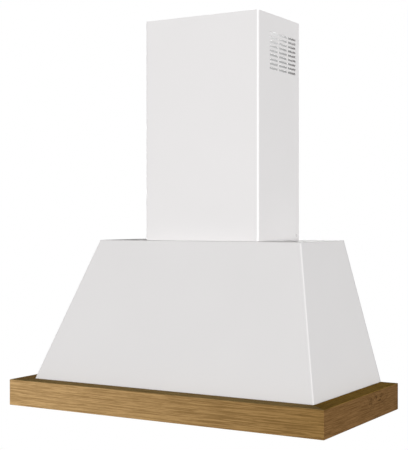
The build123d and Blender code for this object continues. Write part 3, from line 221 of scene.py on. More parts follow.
class Recipe:
    """The node tree of one material, or of the world."""

    def __init__(self, owner: Union[bpy.types.Material, bpy.types.World]) -> None:
        """Empties the owner's tree.

        Args:
            owner: the material or the world.
        """
        self.owner = owner
        owner.use_nodes = True
        self.tree = owner.node_tree
        self.tree.nodes.clear()

    @classmethod
    def material(cls, name: str) -> "Recipe":
        """A recipe for a new material."""
        return cls(bpy.data.materials.new(name))

    def add(self, kind: str, settings: Optional[dict[str, Any]] = None,
            inputs: Optional[dict[Union[str, int], Any]] = None) -> bpy.types.Node:
        """Adds one node.

        Args:
            kind: the node's type.
            settings: its own settings, set first.
            inputs: a number, colour, socket or Value for each socket named.

        Returns:
            The node.
        """
        node = self.tree.nodes.new(kind)
        for name, value in (settings or {}).items():
            setattr(node, name, value)
        for key, value in (inputs or {}).items():
            socket = node.inputs[key]
            if isinstance(value, Value):
                self.tree.links.new(value.socket, socket)
            elif isinstance(value, bpy.types.NodeSocket):
                self.tree.links.new(value, socket)
            elif socket.type == "RGBA":
                socket.default_value = (*value, 1.0)
            else:
                socket.default_value = value
        return node

    def place(self, turn: float = 0.0, shift: Triple = (0.0, 0.0, 0.0)) -> bpy.types.NodeSocket:
        """The point on the surface, in the hood's frame.

        Args:
            turn: a turn about Z.
            shift: a move after the turn.

        Returns:
            The point's socket.
        """
        point = self.add("ShaderNodeTexCoord").outputs["Object"]
        inputs = {"Vector": point, "Rotation": (0.0, 0.0, turn), "Location": shift}
        return self.add("ShaderNodeMapping", {}, inputs).outputs[0]

    def parts(self, vector: bpy.types.NodeSocket) -> tuple[Value, Value, Value]:
        """A vector's X, Y and Z."""
        outputs = self.add("ShaderNodeSeparateXYZ", {}, {0: vector}).outputs
        return Value(self, outputs[0]), Value(self, outputs[1]), Value(self, outputs[2])

    def noise(self, vector: bpy.types.NodeSocket, per_metre: Triple, detail: float = 2.0) -> Value:
        """Cloudy noise, stretched as the three rates say.

        Args:
            vector: the point.
            per_metre: how many blotches to a metre, along each axis.
            detail: octaves of finer noise.

        Returns:
            Noise from 0 to 1, mostly near a half.
        """
        scaled = self.add("ShaderNodeMapping", {}, {"Vector": vector, "Scale": per_metre})
        inputs = {"Vector": scaled.outputs[0], "Scale": 1.0, "Detail": detail}
        return Value(self, self.add("ShaderNodeTexNoise", {}, inputs).outputs[0])

    def clouds(self, vector: bpy.types.NodeSocket, per_metre: float, detail: float = 2.0) -> Value:
        """Noise with one rate along all the axes."""
        return self.noise(vector, (per_metre,) * 3, detail)

    def cells(self, vector: bpy.types.NodeSocket, per_metre: float) -> Value:
        """Flat-toned cells, each with its own number.

        Args:
            vector: the point.
            per_metre: how many cells to a metre.

        Returns:
            The cell's number from 0 to 1.
        """
        node = self.add("ShaderNodeTexVoronoi", {}, {"Vector": vector, "Scale": per_metre})
        red = self.add("ShaderNodeSeparateColor", {}, {0: node.outputs["Color"]})
        return Value(self, red.outputs[0])

    def mix(self, share: Number, first: Any, second: Any) -> bpy.types.NodeSocket:
        """A colour between two.

        Args:
            share: 0 for the first colour, 1 for the second.
            first: a colour or its socket.
            second: a colour or its socket.

        Returns:
            The mixed colour's socket.
        """
        node = self.add("ShaderNodeMix", {"data_type": "RGBA"}, {0: share, 6: first, 7: second})
        return node.outputs[2]

    def shades(self, share: Number, colour: Colour, factors: Pair) -> bpy.types.NodeSocket:
        """A colour that swings between two shades of itself, where the share is 0 and where it is 1."""
        return self.mix(share, *[shaded(colour, factor) for factor in factors])

    def tinted(self, colour: bpy.types.NodeSocket, tint: bpy.types.NodeSocket) -> bpy.types.NodeSocket:
        """A colour with its red, green and blue multiplied by a tint's."""
        return self.add("ShaderNodeVectorMath", {"operation": "MULTIPLY"}, {0: colour, 1: tint}).outputs[0]

    def relief(self, height: Value, depth: float, strength: float = 1.0) -> bpy.types.NodeSocket:
        """A normal bent by a relief from 0 to 1, so many metres deep, of which so much shows."""
        inputs = {"Height": height, "Distance": depth, "Strength": strength}
        return self.add("ShaderNodeBump", {}, inputs).outputs[0]

    def seen(self) -> Value:
        """1 where the camera looks straight at the surface, 0 for its light on other things."""
        return Value(self, self.add("ShaderNodeLightPath").outputs["Is Camera Ray"])

    def close(self, **inputs: Any) -> bpy.types.Material:
        """Ends the tree with one surface shader.

        Args:
            inputs: the shader's sockets by name, with _ for a space.

        Returns:
            The finished material.
        """
        sockets = {name.replace("_", " "): value for name, value in inputs.items()}
        shader = self.add("ShaderNodeBsdfPrincipled", {}, sockets)
        self.add("ShaderNodeOutputMaterial", {}, {"Surface": shader.outputs[0]})
        return self.owner


# Finishes


@dataclass(frozen=True)
class Finish:
    """A finish that can make its material."""

    name: str

    def make(self) -> bpy.types.Material:
        """The finish's material."""
        raise NotImplementedError


Finishes = dict[Finish, tuple[str, ...]]


@dataclass(frozen=True)
class SatinPaint(Finish):
    """Powder coat: nearly even colour, satin gloss and a fine orange-peel skin."""

    colour: Colour
    roughness: float = 0.42
    gloss_swing: float = 0.08
    shades: Pair = (0.985, 1.015)
    clouds_per_metre: float = 5.0
    peel_per_metre: float = 700.0
    peel_depth: float = 0.00002

    def make(self) -> bpy.types.Material:
        """Slow clouds in colour and gloss, and the peel as relief.

        Returns:
            The paint's material.
        """
        recipe = Recipe.material(self.name)
        place = recipe.place()
        cloud = recipe.clouds(place, self.clouds_per_metre)
        peel = recipe.clouds(place, self.peel_per_metre, detail=1.0)
        return recipe.close(
            Base_Color=recipe.shades(cloud, self.colour, self.shades),
            Roughness=self.roughness + self.gloss_swing * (cloud - 0.5),
            Normal=recipe.relief(peel, self.peel_depth))


@dataclass(frozen=True)
class GrainLayer:
    """One layer of a board's grain: noise at its own rates, its weight, its middle level and its edges."""

    per_metre: Triple
    weight: float
    middle: float = 0.5
    detail: float = 1.0
    edges: Optional[Pair] = None

    def drawn(self, recipe: Recipe, place: bpy.types.NodeSocket) -> Value:
        """The layer's noise, made a smooth step between its edges if it has them."""
        noise = recipe.noise(place, self.per_metre, self.detail)
        return noise if self.edges is None else noise.step(*self.edges)

    def weighed(self, noise: Value) -> Value:
        """The layer's noise about its middle level, times its weight."""
        return (noise - self.middle) * self.weight


@dataclass(frozen=True)
class Knot:
    """A knot in a board: its place along the board and up it, and the reach of its swirl and its specks."""

    along: float
    height: float
    length: float = 0.075
    breadth: float = 0.019
    fall: float = 1.2
    push: float = 0.018
    specks: GrainLayer = GrainLayer((75.0, 170.0, 170.0), 0.8, edges=(0.52, 0.62))

    def swirl(self, along: Value, height: Value) -> Value:
        """How near a point is: 1 in the knot's middle, falling off as a bell curve of the distance."""
        offset = ((along - self.along) / self.length) ** 2 + ((height - self.height) / self.breadth) ** 2
        return math.e ** (offset * -self.fall)


@dataclass(frozen=True)
class Oak(Finish):
    """Oiled oak: growth rings about a pith line beside the board, broken streaks, pores and perhaps a knot.

    The ring's radius is the distance from the pith line, bent by slow noise and pushed outwards by a knot.
    Its fraction over the ring width is 0 in the porous early wood and nears 1 in the dense late wood. The
    board's tint drifts from one end to the other. Its upper face takes a tint of its own instead: painted
    shade for the little light that falls on the top from above.
    """

    grain: Grain
    ends: Pair
    top: float
    shift: Triple = (0.0, 0.0, 0.0)
    pith: Pair = (-0.30, -0.05)
    ring: float = 0.0050
    light: Colour = (0.480, 0.288, 0.110)
    dark: Colour = (0.300, 0.172, 0.060)
    pore_shade: float = 0.45
    tints: tuple[Colour, Colour] = (WHITE, WHITE)
    # Tint of the top face: painted shade, the tone that the weak light from above leaves on it.
    top_tint: Colour = WHITE
    top_edge: Pair = (0.0012, 0.0002)
    knot: Optional[Knot] = None
    bend: GrainLayer = GrainLayer((2.4, 9.0, 9.0), 0.024, detail=2.0)
    broad: GrainLayer = GrainLayer((2.5, 70.0, 70.0), 0.4, detail=2.0)
    fine: GrainLayer = GrainLayer((60.0, 1100.0, 1100.0), 1.2)
    streak: GrainLayer = GrainLayer((13.0, 760.0, 760.0), 0.95, 0.47, edges=(0.38, 0.64))
    pore: GrainLayer = GrainLayer((60.0, 1500.0, 1500.0), 0.4, edges=(0.58, 0.68))
    late_pores: float = 0.3
    early_weight: float = 0.25
    early_middle: float = 0.33
    early_relief: float = 0.25
    roughness: float = 0.74
    fine_roughness: float = 0.12
    pore_roughness: float = 0.1
    relief_depth: float = 0.00012
    relief_strength: float = 0.6

    def make(self) -> bpy.types.Material:
        """The rings, streaks and pores in tone and relief, under the board's tint.

        Returns:
            The board's material.
        """
        recipe = Recipe.material(self.name)
        along, across, height = recipe.parts(recipe.place(self.grain.value))
        moved = recipe.place(self.grain.value, self.shift)
        radius = ((across - self.pith[0]) ** 2 + (height - self.pith[1]) ** 2) ** 0.5
        radius = radius + self.bend.weighed(self.bend.drawn(recipe, moved))
        specks = None
        if self.knot is not None:
            swirl = self.knot.swirl(along, height)
            radius = radius + swirl * self.knot.push
            specks = swirl * self.knot.specks.drawn(recipe, moved) * self.knot.specks.weight
        early = (1.0 - (radius / self.ring).fraction()) ** 2
        fine = self.fine.drawn(recipe, moved)
        pore = self.pore.drawn(recipe, moved) * (self.late_pores + (1.0 - self.late_pores) * early)
        shade = 0.5 + self.fine.weighed(fine) + (early - self.early_middle) * self.early_weight
        for layer in (self.broad, self.streak):
            shade = shade + layer.weighed(layer.drawn(recipe, moved))
        wood = recipe.mix(shade.step(0.0, 1.0), self.light, self.dark)
        wood = recipe.mix(pore * self.pore.weight, wood, shaded(self.dark, self.pore_shade))
        if specks is not None:
            wood = recipe.mix(specks, wood, shaded(self.dark, self.pore_shade))
        reach = (along - self.ends[0]) / (self.ends[1] - self.ends[0])
        # Painted shade on the top face: its own tint takes over in a band just below the upper edge.
        edge = height.step(self.top - self.top_edge[0], self.top - self.top_edge[1])
        tint = recipe.mix(edge, recipe.mix(reach, *self.tints), self.top_tint)
        relief = 1.0 - pore - self.early_relief * early
        return recipe.close(
            Base_Color=recipe.tinted(wood, tint),
            Roughness=self.roughness + self.fine_roughness * fine + self.pore_roughness * pore,
            Specular_IOR_Level=0.0,
            Normal=recipe.relief(relief, self.relief_depth, self.relief_strength))


@dataclass(frozen=True)
class PlainWood(Finish):
    """Plain straight-grained wood with short flecks."""

    light: Colour = (0.66, 0.46, 0.27)
    dark: Colour = (0.50, 0.32, 0.17)
    flecks_per_metre: Triple = (1500.0, 1500.0, 220.0)
    fleck_edges: Pair = (0.3, 0.75)
    fleck_depth: float = 0.00005
    roughness: float = 0.55
    fleck_roughness: float = 0.2

    def make(self) -> bpy.types.Material:
        """Flecks in tone, gloss and relief.

        Returns:
            The wood's material.
        """
        recipe = Recipe.material(self.name)
        fleck = recipe.noise(recipe.place(), self.flecks_per_metre, detail=3.0)
        return recipe.close(
            Base_Color=recipe.mix(fleck.step(*self.fleck_edges), self.light, self.dark),
            Roughness=self.roughness + self.fleck_roughness * fleck,
            Normal=recipe.relief(fleck, self.fleck_depth))


@dataclass(frozen=True)
class BrushedMetal(Finish):
    """Metal brushed one way: fine lines in tone, gloss and relief."""

    colour: Colour = (0.60, 0.60, 0.595)
    roughness: float = 0.30
    lines_per_metre: Triple = (6.0, 1800.0, 1800.0)
    shades: Pair = (0.82, 1.12)
    line_swing: float = 0.22
    line_depth: float = 0.00003
    clouds_per_metre: float = 14.0
    cloud_swing: float = 0.12

    def make(self) -> bpy.types.Material:
        """The lines, and slow clouds in the gloss.

        Returns:
            The metal's material.
        """
        recipe = Recipe.material(self.name)
        place = recipe.place()
        line = recipe.noise(place, self.lines_per_metre, detail=3.0)
        cloud = recipe.clouds(place, self.clouds_per_metre)
        return recipe.close(
            Base_Color=recipe.shades(line, self.colour, self.shades),
            Roughness=self.roughness + self.line_swing * (line - 0.5) + self.cloud_swing * (cloud - 0.5),
            Metallic=1.0,
            Normal=recipe.relief(line, self.line_depth))


@dataclass(frozen=True)
class ZincPlate(Finish):
    """Zinc-plated steel: faint crystals and a cloudy sheen."""

    colour: Colour = (0.56, 0.575, 0.59)
    roughness: float = 0.30
    shades: Pair = (0.84, 1.1)
    crystals_per_metre: float = 140.0
    crystal_share: float = 0.6
    crystal_roughness: float = 0.16
    clouds_per_metre: float = 60.0
    cloud_roughness: float = 0.12
    cloud_depth: float = 0.00005
    cloud_strength: float = 0.5

    def make(self) -> bpy.types.Material:
        """Crystals and clouds in tone and gloss, the clouds as faint relief.

        Returns:
            The plating's material.
        """
        recipe = Recipe.material(self.name)
        place = recipe.place()
        crystal = recipe.cells(place, self.crystals_per_metre)
        cloud = recipe.clouds(place, self.clouds_per_metre, detail=3.0)
        tone = self.crystal_share * crystal + (1.0 - self.crystal_share) * cloud
        return recipe.close(
            Base_Color=recipe.shades(tone, self.colour, self.shades),
            Roughness=self.roughness + self.crystal_roughness * crystal + self.cloud_roughness * cloud,
            Metallic=1.0,
            Normal=recipe.relief(cloud, self.cloud_depth, self.cloud_strength))


@dataclass(frozen=True)
class Moulded(Finish):
    """Moulded plastic or rubber: an even colour with a fine spark-grain skin."""

    colour: Colour
    roughness: float
    grain_per_metre: float = 1600.0
    grain_depth: float = 0.00004
    grain_swing: float = 0.14
    shades: Pair = (0.9, 1.1)
    clouds_per_metre: float = 35.0
    cloud_swing: float = 0.1

    def make(self) -> bpy.types.Material:
        """The skin's grain in gloss and relief, and slow clouds in tone.

        Returns:
            The moulding's material.
        """
        recipe = Recipe.material(self.name)
        place = recipe.place()
        skin = recipe.clouds(place, self.grain_per_metre)
        cloud = recipe.clouds(place, self.clouds_per_metre)
        return recipe.close(
            Base_Color=recipe.shades(cloud, self.colour, self.shades),
            Roughness=self.roughness + self.grain_swing * (skin - 0.5) + self.cloud_swing * (cloud - 0.5),
            Normal=recipe.relief(skin, self.grain_depth))


@dataclass(frozen=True)
class FrostedLens(Finish):
    """Frosted lamp glass that lets soft light through."""

    colour: Colour = (0.93, 0.93, 0.91)
    shades: Pair = (0.95, 1.0)
    roughness: float = 0.32
    frost_per_metre: float = 1200.0
    frost_roughness: float = 0.16
    frost_depth: float = 0.00004
    clearness: float = 0.45
    refraction: float = 1.49

    def make(self) -> bpy.types.Material:
        """Frost in tone, gloss and relief over half-clear glass.

        Returns:
            The lens's material.
        """
        recipe = Recipe.material(self.name)
        frost = recipe.clouds(recipe.place(), self.frost_per_metre)
        return recipe.close(
            Base_Color=recipe.shades(frost, self.colour, self.shades),
            Roughness=self.roughness + self.frost_roughness * frost,
            Transmission_Weight=self.clearness,
            IOR=self.refraction,
            Normal=recipe.relief(frost, self.frost_depth))


@dataclass(frozen=True)
class CircuitBoard(Finish):
    """Green solder mask over copper tracks."""

    mask: Colour = (0.02, 0.12, 0.045)
    track: Colour = (0.04, 0.20, 0.075)
    roughness: float = 0.3
    tracks_per_metre: float = 420.0
    track_edges: Pair = (0.55, 0.6)
    track_height: float = 0.00003
    weave_per_metre: float = 900.0
    weave_roughness: float = 0.15

    def make(self) -> bpy.types.Material:
        """Patches of track under the mask, and the weave in the gloss.

        Returns:
            The board's material.
        """
        recipe = Recipe.material(self.name)
        place = recipe.place()
        lane = recipe.cells(place, self.tracks_per_metre).step(*self.track_edges)
        weave = recipe.clouds(place, self.weave_per_metre)
        return recipe.close(
            Base_Color=recipe.mix(lane, self.mask, self.track),
            Roughness=self.roughness + self.weave_roughness * weave,
            Normal=recipe.relief(lane, self.track_height))


CHIMNEY_PAINT = SatinPaint("white_chimney_coat", (0.845, 0.830, 0.831))
# The screws' white coat is made grey: painted shade of the small heads and their recesses.
SHADED_SCREW_PAINT = SatinPaint("screw_coat_with_painted_shade", (0.60, 0.59, 0.59))
# The canopy's paint is the chimney's white made darker: painted shade for its tilted faces, which the level
# light reaches less.
SHADED_CANOPY_PAINT = SatinPaint("white_coat_with_painted_canopy_shade", (0.823, 0.809, 0.810))
PANEL_STEEL = BrushedMetal("brushed_panel_steel")
ZINC = ZincPlate("zinc_plated_steel")
ALUMINIUM = BrushedMetal("satin_aluminium", (0.74, 0.74, 0.745), 0.34, (40.0, 900.0, 900.0))
CHROME = BrushedMetal("polished_bezel", (0.80, 0.80, 0.81), 0.12, (300.0, 300.0, 300.0))
LENS = FrostedLens("frosted_lamp_glass")
BLACK_PLASTIC = Moulded("black_moulding", (0.022, 0.022, 0.024), 0.42)
GREY_PLASTIC = Moulded("grey_moulding", (0.20, 0.205, 0.21), 0.5)
WHITE_PLASTIC = Moulded("white_moulding", (0.78, 0.78, 0.765), 0.45)
BUTTON_PLASTIC = Moulded("button_gloss", (0.03, 0.03, 0.032), 0.24, 900.0, 0.00001)
RUBBER = Moulded("black_rubber", (0.018, 0.018, 0.018), 0.7, 1100.0, 0.00008)
BOARD = CircuitBoard("green_board")
BEECH = PlainWood("beech_dowel")


class Workshop:
    """Makes each finish's material once and puts it on the nodes."""

    def __init__(self) -> None:
        """Starts with no material made."""
        self.made: dict[Finish, bpy.types.Material] = {}

    def material(self, finish: Finish) -> bpy.types.Material:
        """The material of a finish.

        Args:
            finish: the finish.

        Returns:
            Its material, made the first time that it is asked for.
        """
        if finish not in self.made:
            self.made[finish] = finish.make()
        return self.made[finish]

    def dress(self, finish: Finish, *nodes: str) -> None:
        """Puts a finish on solid nodes.

        Args:
            finish: the finish.
            nodes: the nodes' names.
        """
        for name in nodes:
            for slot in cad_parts[name].material_slots:
                slot.material = self.material(finish)
            LOG.info("dressed %s in %s", name, finish.name)


# Surfaces


def grid_faces(rows: int, columns: int) -> np.ndarray:
    """Quads between neighbours of a grid of points whose last column joins its first.

    Args:
        rows: points along the first parameter.
        columns: points along the second parameter.

    Returns:
        Four point numbers for each quad.
    """
    i, j = np.meshgrid(np.arange(rows - 1), np.arange(columns), indexing="ij")
    k = (j + 1) % columns
    corners = [i * columns + j, i * columns + k, (i + 1) * columns + k, (i + 1) * columns + j]
    return np.stack(corners, axis=-1).reshape(-1, 4)


def turned(radius: np.ndarray, level: np.ndarray, segments: int) -> Surface:
    """A profile turned about the Z axis: each point of the profile goes round a circle of its radius.

    Args:
        radius: the profile's distance from the axis, 0 at both ends for a closed shape.
        level: the profile's height.
        segments: points round the axis.

    Returns:
        The points and the quads.
    """
    angle = np.linspace(0.0, FULL_TURN, segments, endpoint=False)
    rings = [np.outer(radius, np.cos(angle)), np.outer(radius, np.sin(angle))]
    rings.append(np.outer(level, np.ones(segments)))
    return np.stack(rings, axis=-1).reshape(-1, 3), grid_faces(len(radius), segments)


def circle(radius: float, sides: int) -> np.ndarray:
    """A round profile: points at even turns about the origin."""
    turn = np.linspace(0.0, FULL_TURN, sides, endpoint=False)
    return radius * np.stack([np.cos(turn), np.sin(turn)], axis=-1)


def oblong(width: float, height: float) -> np.ndarray:
    """A rectangular profile about the origin."""
    return 0.5 * np.array([[-width, -height], [width, -height], [width, height], [-width, height]])


def carried(profile: np.ndarray, path: np.ndarray, across: Direction, outward: Direction) -> Surface:
    """A closed profile carried along a path and drawn together at both ends.

    A point is the path's point, plus the profile's first number times across, plus its second times outward.

    Args:
        profile: the profile's corners in order, round a shape without hollows.
        path: the path's points.
        across: the way of the profile's first number, one for the whole path or one for each point.
        outward: the way of its second number.

    Returns:
        The points and quads.
    """
    across = np.broadcast_to(across, path.shape)[:, None]
    outward = np.broadcast_to(outward, path.shape)[:, None]
    rings = path[:, None] + profile[:, :1] * across + profile[:, 1:] * outward
    middles = np.broadcast_to(rings.mean(axis=1, keepdims=True), rings.shape)
    rows = np.concatenate([middles[:1], rings, middles[-1:]])
    return rows.reshape(-1, 3), grid_faces(len(rows), len(profile))


def bent_strip(path: np.ndarray, width: float, sheet: float, origin: np.ndarray,
               ways: np.ndarray) -> Surface:
    """A strip of sheet bent along a flat path: an oblong carried along it, square to the path.

    Args:
        path: the path's points as two numbers each.
        width: the strip's width.
        sheet: its thickness.
        origin: where the path's origin is.
        ways: three rows, the directions of the path's two numbers and of the strip's width.

    Returns:
        The points and quads.
    """
    along = np.gradient(path, axis=0)
    along = along / np.linalg.norm(along, axis=1, keepdims=True)
    square = np.stack([-along[:, 1], along[:, 0]], axis=-1)
    return carried(oblong(width, sheet), origin + path @ ways[:2], ways[2], square @ ways[:2])


def joined(surfaces: list[Surface]) -> Surface:
    """Several surfaces as one.

    Args:
        surfaces: the points and quads of each.

    Returns:
        All the points and quads.
    """
    starts = np.cumsum([0] + [len(points) for points, _ in surfaces[:-1]])
    quads = [quad + start for (_, quad), start in zip(surfaces, starts)]
    return np.concatenate([points for points, _ in surfaces]), np.concatenate(quads)


def laid(surface: Surface, seat: Triple, way: Triple) -> Surface:
    """A surface moved so that its origin is at a seat, with its Z axis turned to a way."""
    turn = np.array(Vector(way).to_track_quat("Z", "Y").to_matrix())
    return surface[0] @ turn.T + np.array(seat), surface[1]


def middle_of(node: str) -> Vector:
    """The middle of a node's box."""
    low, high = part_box(node)
    return (low + high) / 2


@dataclass
class Piece:
    """A new piece: its surface, its finish, the node whose place it takes and the body that it rides on."""

    name: str
    surface: Surface
    finish: Finish
    replaces: Optional[str] = None
    body: Body = Body.HOOD

    def make(self, workshop: Workshop) -> bpy.types.Object:
        """Puts the surface into a mesh with closed poles and outward faces.

        Args:
            workshop: where the finish's material comes from.

        Returns:
            The piece's object.
        """
        points, quads = self.surface
        mesh = bpy.data.meshes.new(self.name)
        mesh.from_pydata(points, [], quads)
        shape = bmesh.new()
        shape.from_mesh(mesh)
        bmesh.ops.remove_doubles(shape, verts=shape.verts, dist=MERGE_DISTANCE)
        bmesh.ops.recalc_face_normals(shape, faces=shape.faces)
        shape.to_mesh(mesh)
        shape.free()
        mesh.shade_smooth()
        mesh.set_sharp_from_angle(angle=SHARP_ANGLE)
        mesh.materials.append(workshop.material(self.finish))
        piece = bpy.data.objects.new(self.name, mesh)
        bpy.context.scene.collection.objects.link(piece)
        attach(piece, self.body.value)
        if self.replaces is not None:
            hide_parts(self.replaces)
        LOG.info("made %s, %d faces, on %s", self.name, len(mesh.polygons), self.body.value)
        return piece


@dataclass
class CrossScrew:
    """A pan-head screw with a threaded shank and a cross recess."""

    shank: float = 0.002
    head: float = 0.004
    head_height: float = 0.0022
    edge_share: float = 0.35
    thread: float = 0.0008
    thread_depth: float = 0.0003
    recess_reach: float = 0.0024
    recess_width: float = 0.0005
    recess_depth: float = 0.0012
    arm_slope: float = 0.4
    end_slope: float = 0.3
    rings_per_thread: int = 5
    least_rings: int = 8
    dome_rings: int = 14
    segments: int = 40

    def surface(self, length: float) -> Surface:
        """The screw with its head's seat at the origin and its head along +Z.

        The profile runs from the tip up the shank, out under the head, up its edge and over its dome, which
        is a quarter ellipse. The shank's radius ripples along a helix, and the dome sinks where a point is
        near either arm of the cross.

        Args:
            length: the shank's length.

        Returns:
            The points and quads.
        """
        rings = max(self.least_rings, int(length / self.thread * self.rings_per_thread))
        sweep = np.linspace(0.0, np.pi / 2, self.dome_rings)
        edge = self.edge_share * self.head_height
        dome = edge + (self.head_height - edge) * np.sin(sweep)
        radius = np.concatenate([[0.0], np.full(rings, self.shank), [self.head], self.head * np.cos(sweep)])
        level = np.concatenate([[-length], np.linspace(-length, 0.0, rings), [0.0], dome])
        points, quads = turned(radius, level, self.segments)
        x, y, z = points.T
        reach = np.hypot(x, y)
        shanked = (z > -length + self.thread) & (z < -self.thread) & (reach > 0.5 * self.shank)
        ripple = 0.5 - 0.5 * np.cos(FULL_TURN * z / self.thread - np.arctan2(y, x))
        shrink = np.where(shanked, 1.0 - self.thread_depth / self.shank * ripple, 1.0)
        arm = np.minimum(np.abs(x), np.abs(y))
        inside = np.clip((self.recess_width - arm) / (self.arm_slope * self.recess_width), 0.0, 1.0)
        inside *= np.clip((self.recess_reach - reach) / (self.end_slope * self.recess_reach), 0.0, 1.0)
        sunk = np.where(z >= edge, self.recess_depth * inside, 0.0)
        return np.stack([x * shrink, y * shrink, z - sunk], axis=-1), quads


SCREW = CrossScrew()


def screw_set(seats: list[Seat], length: float) -> Surface:
    """Screws of one length on several seats, each where a head sits and which way it points."""
    screw = SCREW.surface(length)
    return joined([laid(screw, seat, way) for seat, way in seats])


# Sub-assemblies


class SubAssembly:
    """A part of the hood with solids to dress and pieces to add."""

    def finishes(self) -> Finishes:
        """Each finish, with the names of the solids that have it."""
        raise NotImplementedError

    def build(self) -> list[Piece]:
        """The new pieces. Where the solids have all of the shape, there are none."""
        return []

    def dress(self, workshop: Workshop) -> None:
        """Puts the finishes on the solids, with materials from a workshop."""
        for finish, nodes in self.finishes().items():
            workshop.dress(finish, *nodes)


@dataclass
class OakFrame(SubAssembly):
    """Three mitred oak rails, their dowels and the screws behind them."""

    panel_sheet: float = 0.001
    screw_length: float = 0.030
    front_screws: int = 4
    side_screws: int = 2
    front_tints: tuple[Colour, Colour] = ((1.242, 1.336, 1.60), (0.637, 0.617, 0.541))
    # The front rail's top-face tint is painted shade, the tone that the weak light from above leaves on it.
    front_top_tint: Colour = (0.92, 1.04, 1.12)
    left_shift: Triple = (0.7, 0.3, 0.2)
    left_pith: Pair = (-0.29, -0.06)
    right_shift: Triple = (1.9, 0.1, 0.6)
    right_pith: Pair = (0.29, -0.05)
    right_tints: tuple[Colour, Colour] = ((0.434, 0.393, 0.409), (0.517, 0.470, 0.472))
    # The right rail's top-face tint is painted shade, the tone that the weak light from above leaves on it.
    right_top_tint: Colour = (0.746, 0.753, 0.47)
    right_knot: Knot = Knot(along=0.150, height=0.046)

    def board(self, place: str, grain: Grain, **looks: Any) -> Oak:
        """The oak of one rail.

        Args:
            place: where the rail is in the frame.
            grain: which way its grain runs.
            looks: the board's own pattern and tones.

        Returns:
            The finish, with the rail's own ends and upper edge.
        """
        low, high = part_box(f"oak_{place}_rail")
        ends = (low.x, high.x) if grain is Grain.ALONG_X else (-high.y, -low.y)
        return Oak(f"oak_{place}_board", grain, ends, high.z, **looks)

    def finishes(self) -> Finishes:
        """A board of its own for each rail, and beech for the dowels.

        Returns:
            Each finish with its nodes.
        """
        front = self.board("front", Grain.ALONG_X, tints=self.front_tints, top_tint=self.front_top_tint)
        left = self.board("left", Grain.ALONG_Y, shift=self.left_shift, pith=self.left_pith)
        right = self.board(
            "right", Grain.ALONG_Y, shift=self.right_shift, pith=self.right_pith,
            tints=self.right_tints, top_tint=self.right_top_tint, knot=self.right_knot)
        return {
            front: ("oak_front_rail",),
            left: ("oak_left_rail",),
            right: ("oak_right_rail",),
            BEECH: ("mitre_dowels",)}

    def build(self) -> list[Piece]:
        """The screws through the panel's rim and the skirt into the rails.

        Returns:
            One set of screws.
        """
        panel_low, panel_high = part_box("bottom_panel")
        skirt_low, skirt_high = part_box("canopy_shell")
        level = middle_of("rail_screws").z
        y = panel_low.y + self.panel_sheet
        pitch = (skirt_high.x - skirt_low.x) / self.front_screws
        places = [skirt_low.x + pitch * (i + 0.5) for i in range(self.front_screws)]
        seats = [((x, y, level), REARWARD) for x in places]
        x = panel_high.x - self.panel_sheet
        pitch = skirt_low.y / self.side_screws
        places = [pitch * (i + 0.5) for i in range(self.side_screws)]
        seats += [((side.value * x, y, level), side.inward) for side in Side for y in places]
        return [Piece("rail_screw_set", screw_set(seats, self.screw_length), ZINC, "rail_screws")]


@dataclass
class Canopy(SubAssembly):
    """The folded canopy, its back and its bottom panel."""

    def finishes(self) -> Finishes:
        """Paint outside, darkened with painted shade; plated and brushed steel where the kitchen doesn't see
        it.
        """
        return {
            SHADED_CANOPY_PAINT: ("canopy_shell",),
            ZINC: ("back_panel", "back_panel_rivets", "filter_pivot_lugs"),
            PANEL_STEEL: ("bottom_panel",)}


@dataclass
class Chimney(SubAssembly):
    """The chimney cover, the extension inside it, their brackets and screws."""

    screw_length: float = 0.0055
    bracket_screw_length: float = 0.0025

    def finishes(self) -> Finishes:
        """Paint on both sleeves, zinc on the brackets."""
        return {
            CHIMNEY_PAINT: ("chimney_cover", "chimney_extension"),
            ZINC: ("chimney_base_brackets", "chimney_wall_bracket")}

    def build(self) -> list[Piece]:
        """The two side screws, and the two on the wall bracket.

        Returns:
            Two sets of screws.
        """
        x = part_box("chimney_cover")[1].x
        _, y, z = middle_of("chimney_screws")
        sides = screw_set([((side.value * x, y, z), side.outward) for side in Side], self.screw_length)
        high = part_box("wall_bracket_screws")[1]
        x = high.x - SCREW.head
        y = high.y - self.bracket_screw_length
        z = high.z - SCREW.head
        rear = screw_set([((side.value * x, y, z), FRONTWARD) for side in Side], self.bracket_screw_length)
        return [
            Piece("chimney_screw_set", sides, SHADED_SCREW_PAINT, "chimney_screws"),
            Piece("wall_bracket_screw_set", rear, ZINC, "wall_bracket_screws", Body.EXTENSION)]


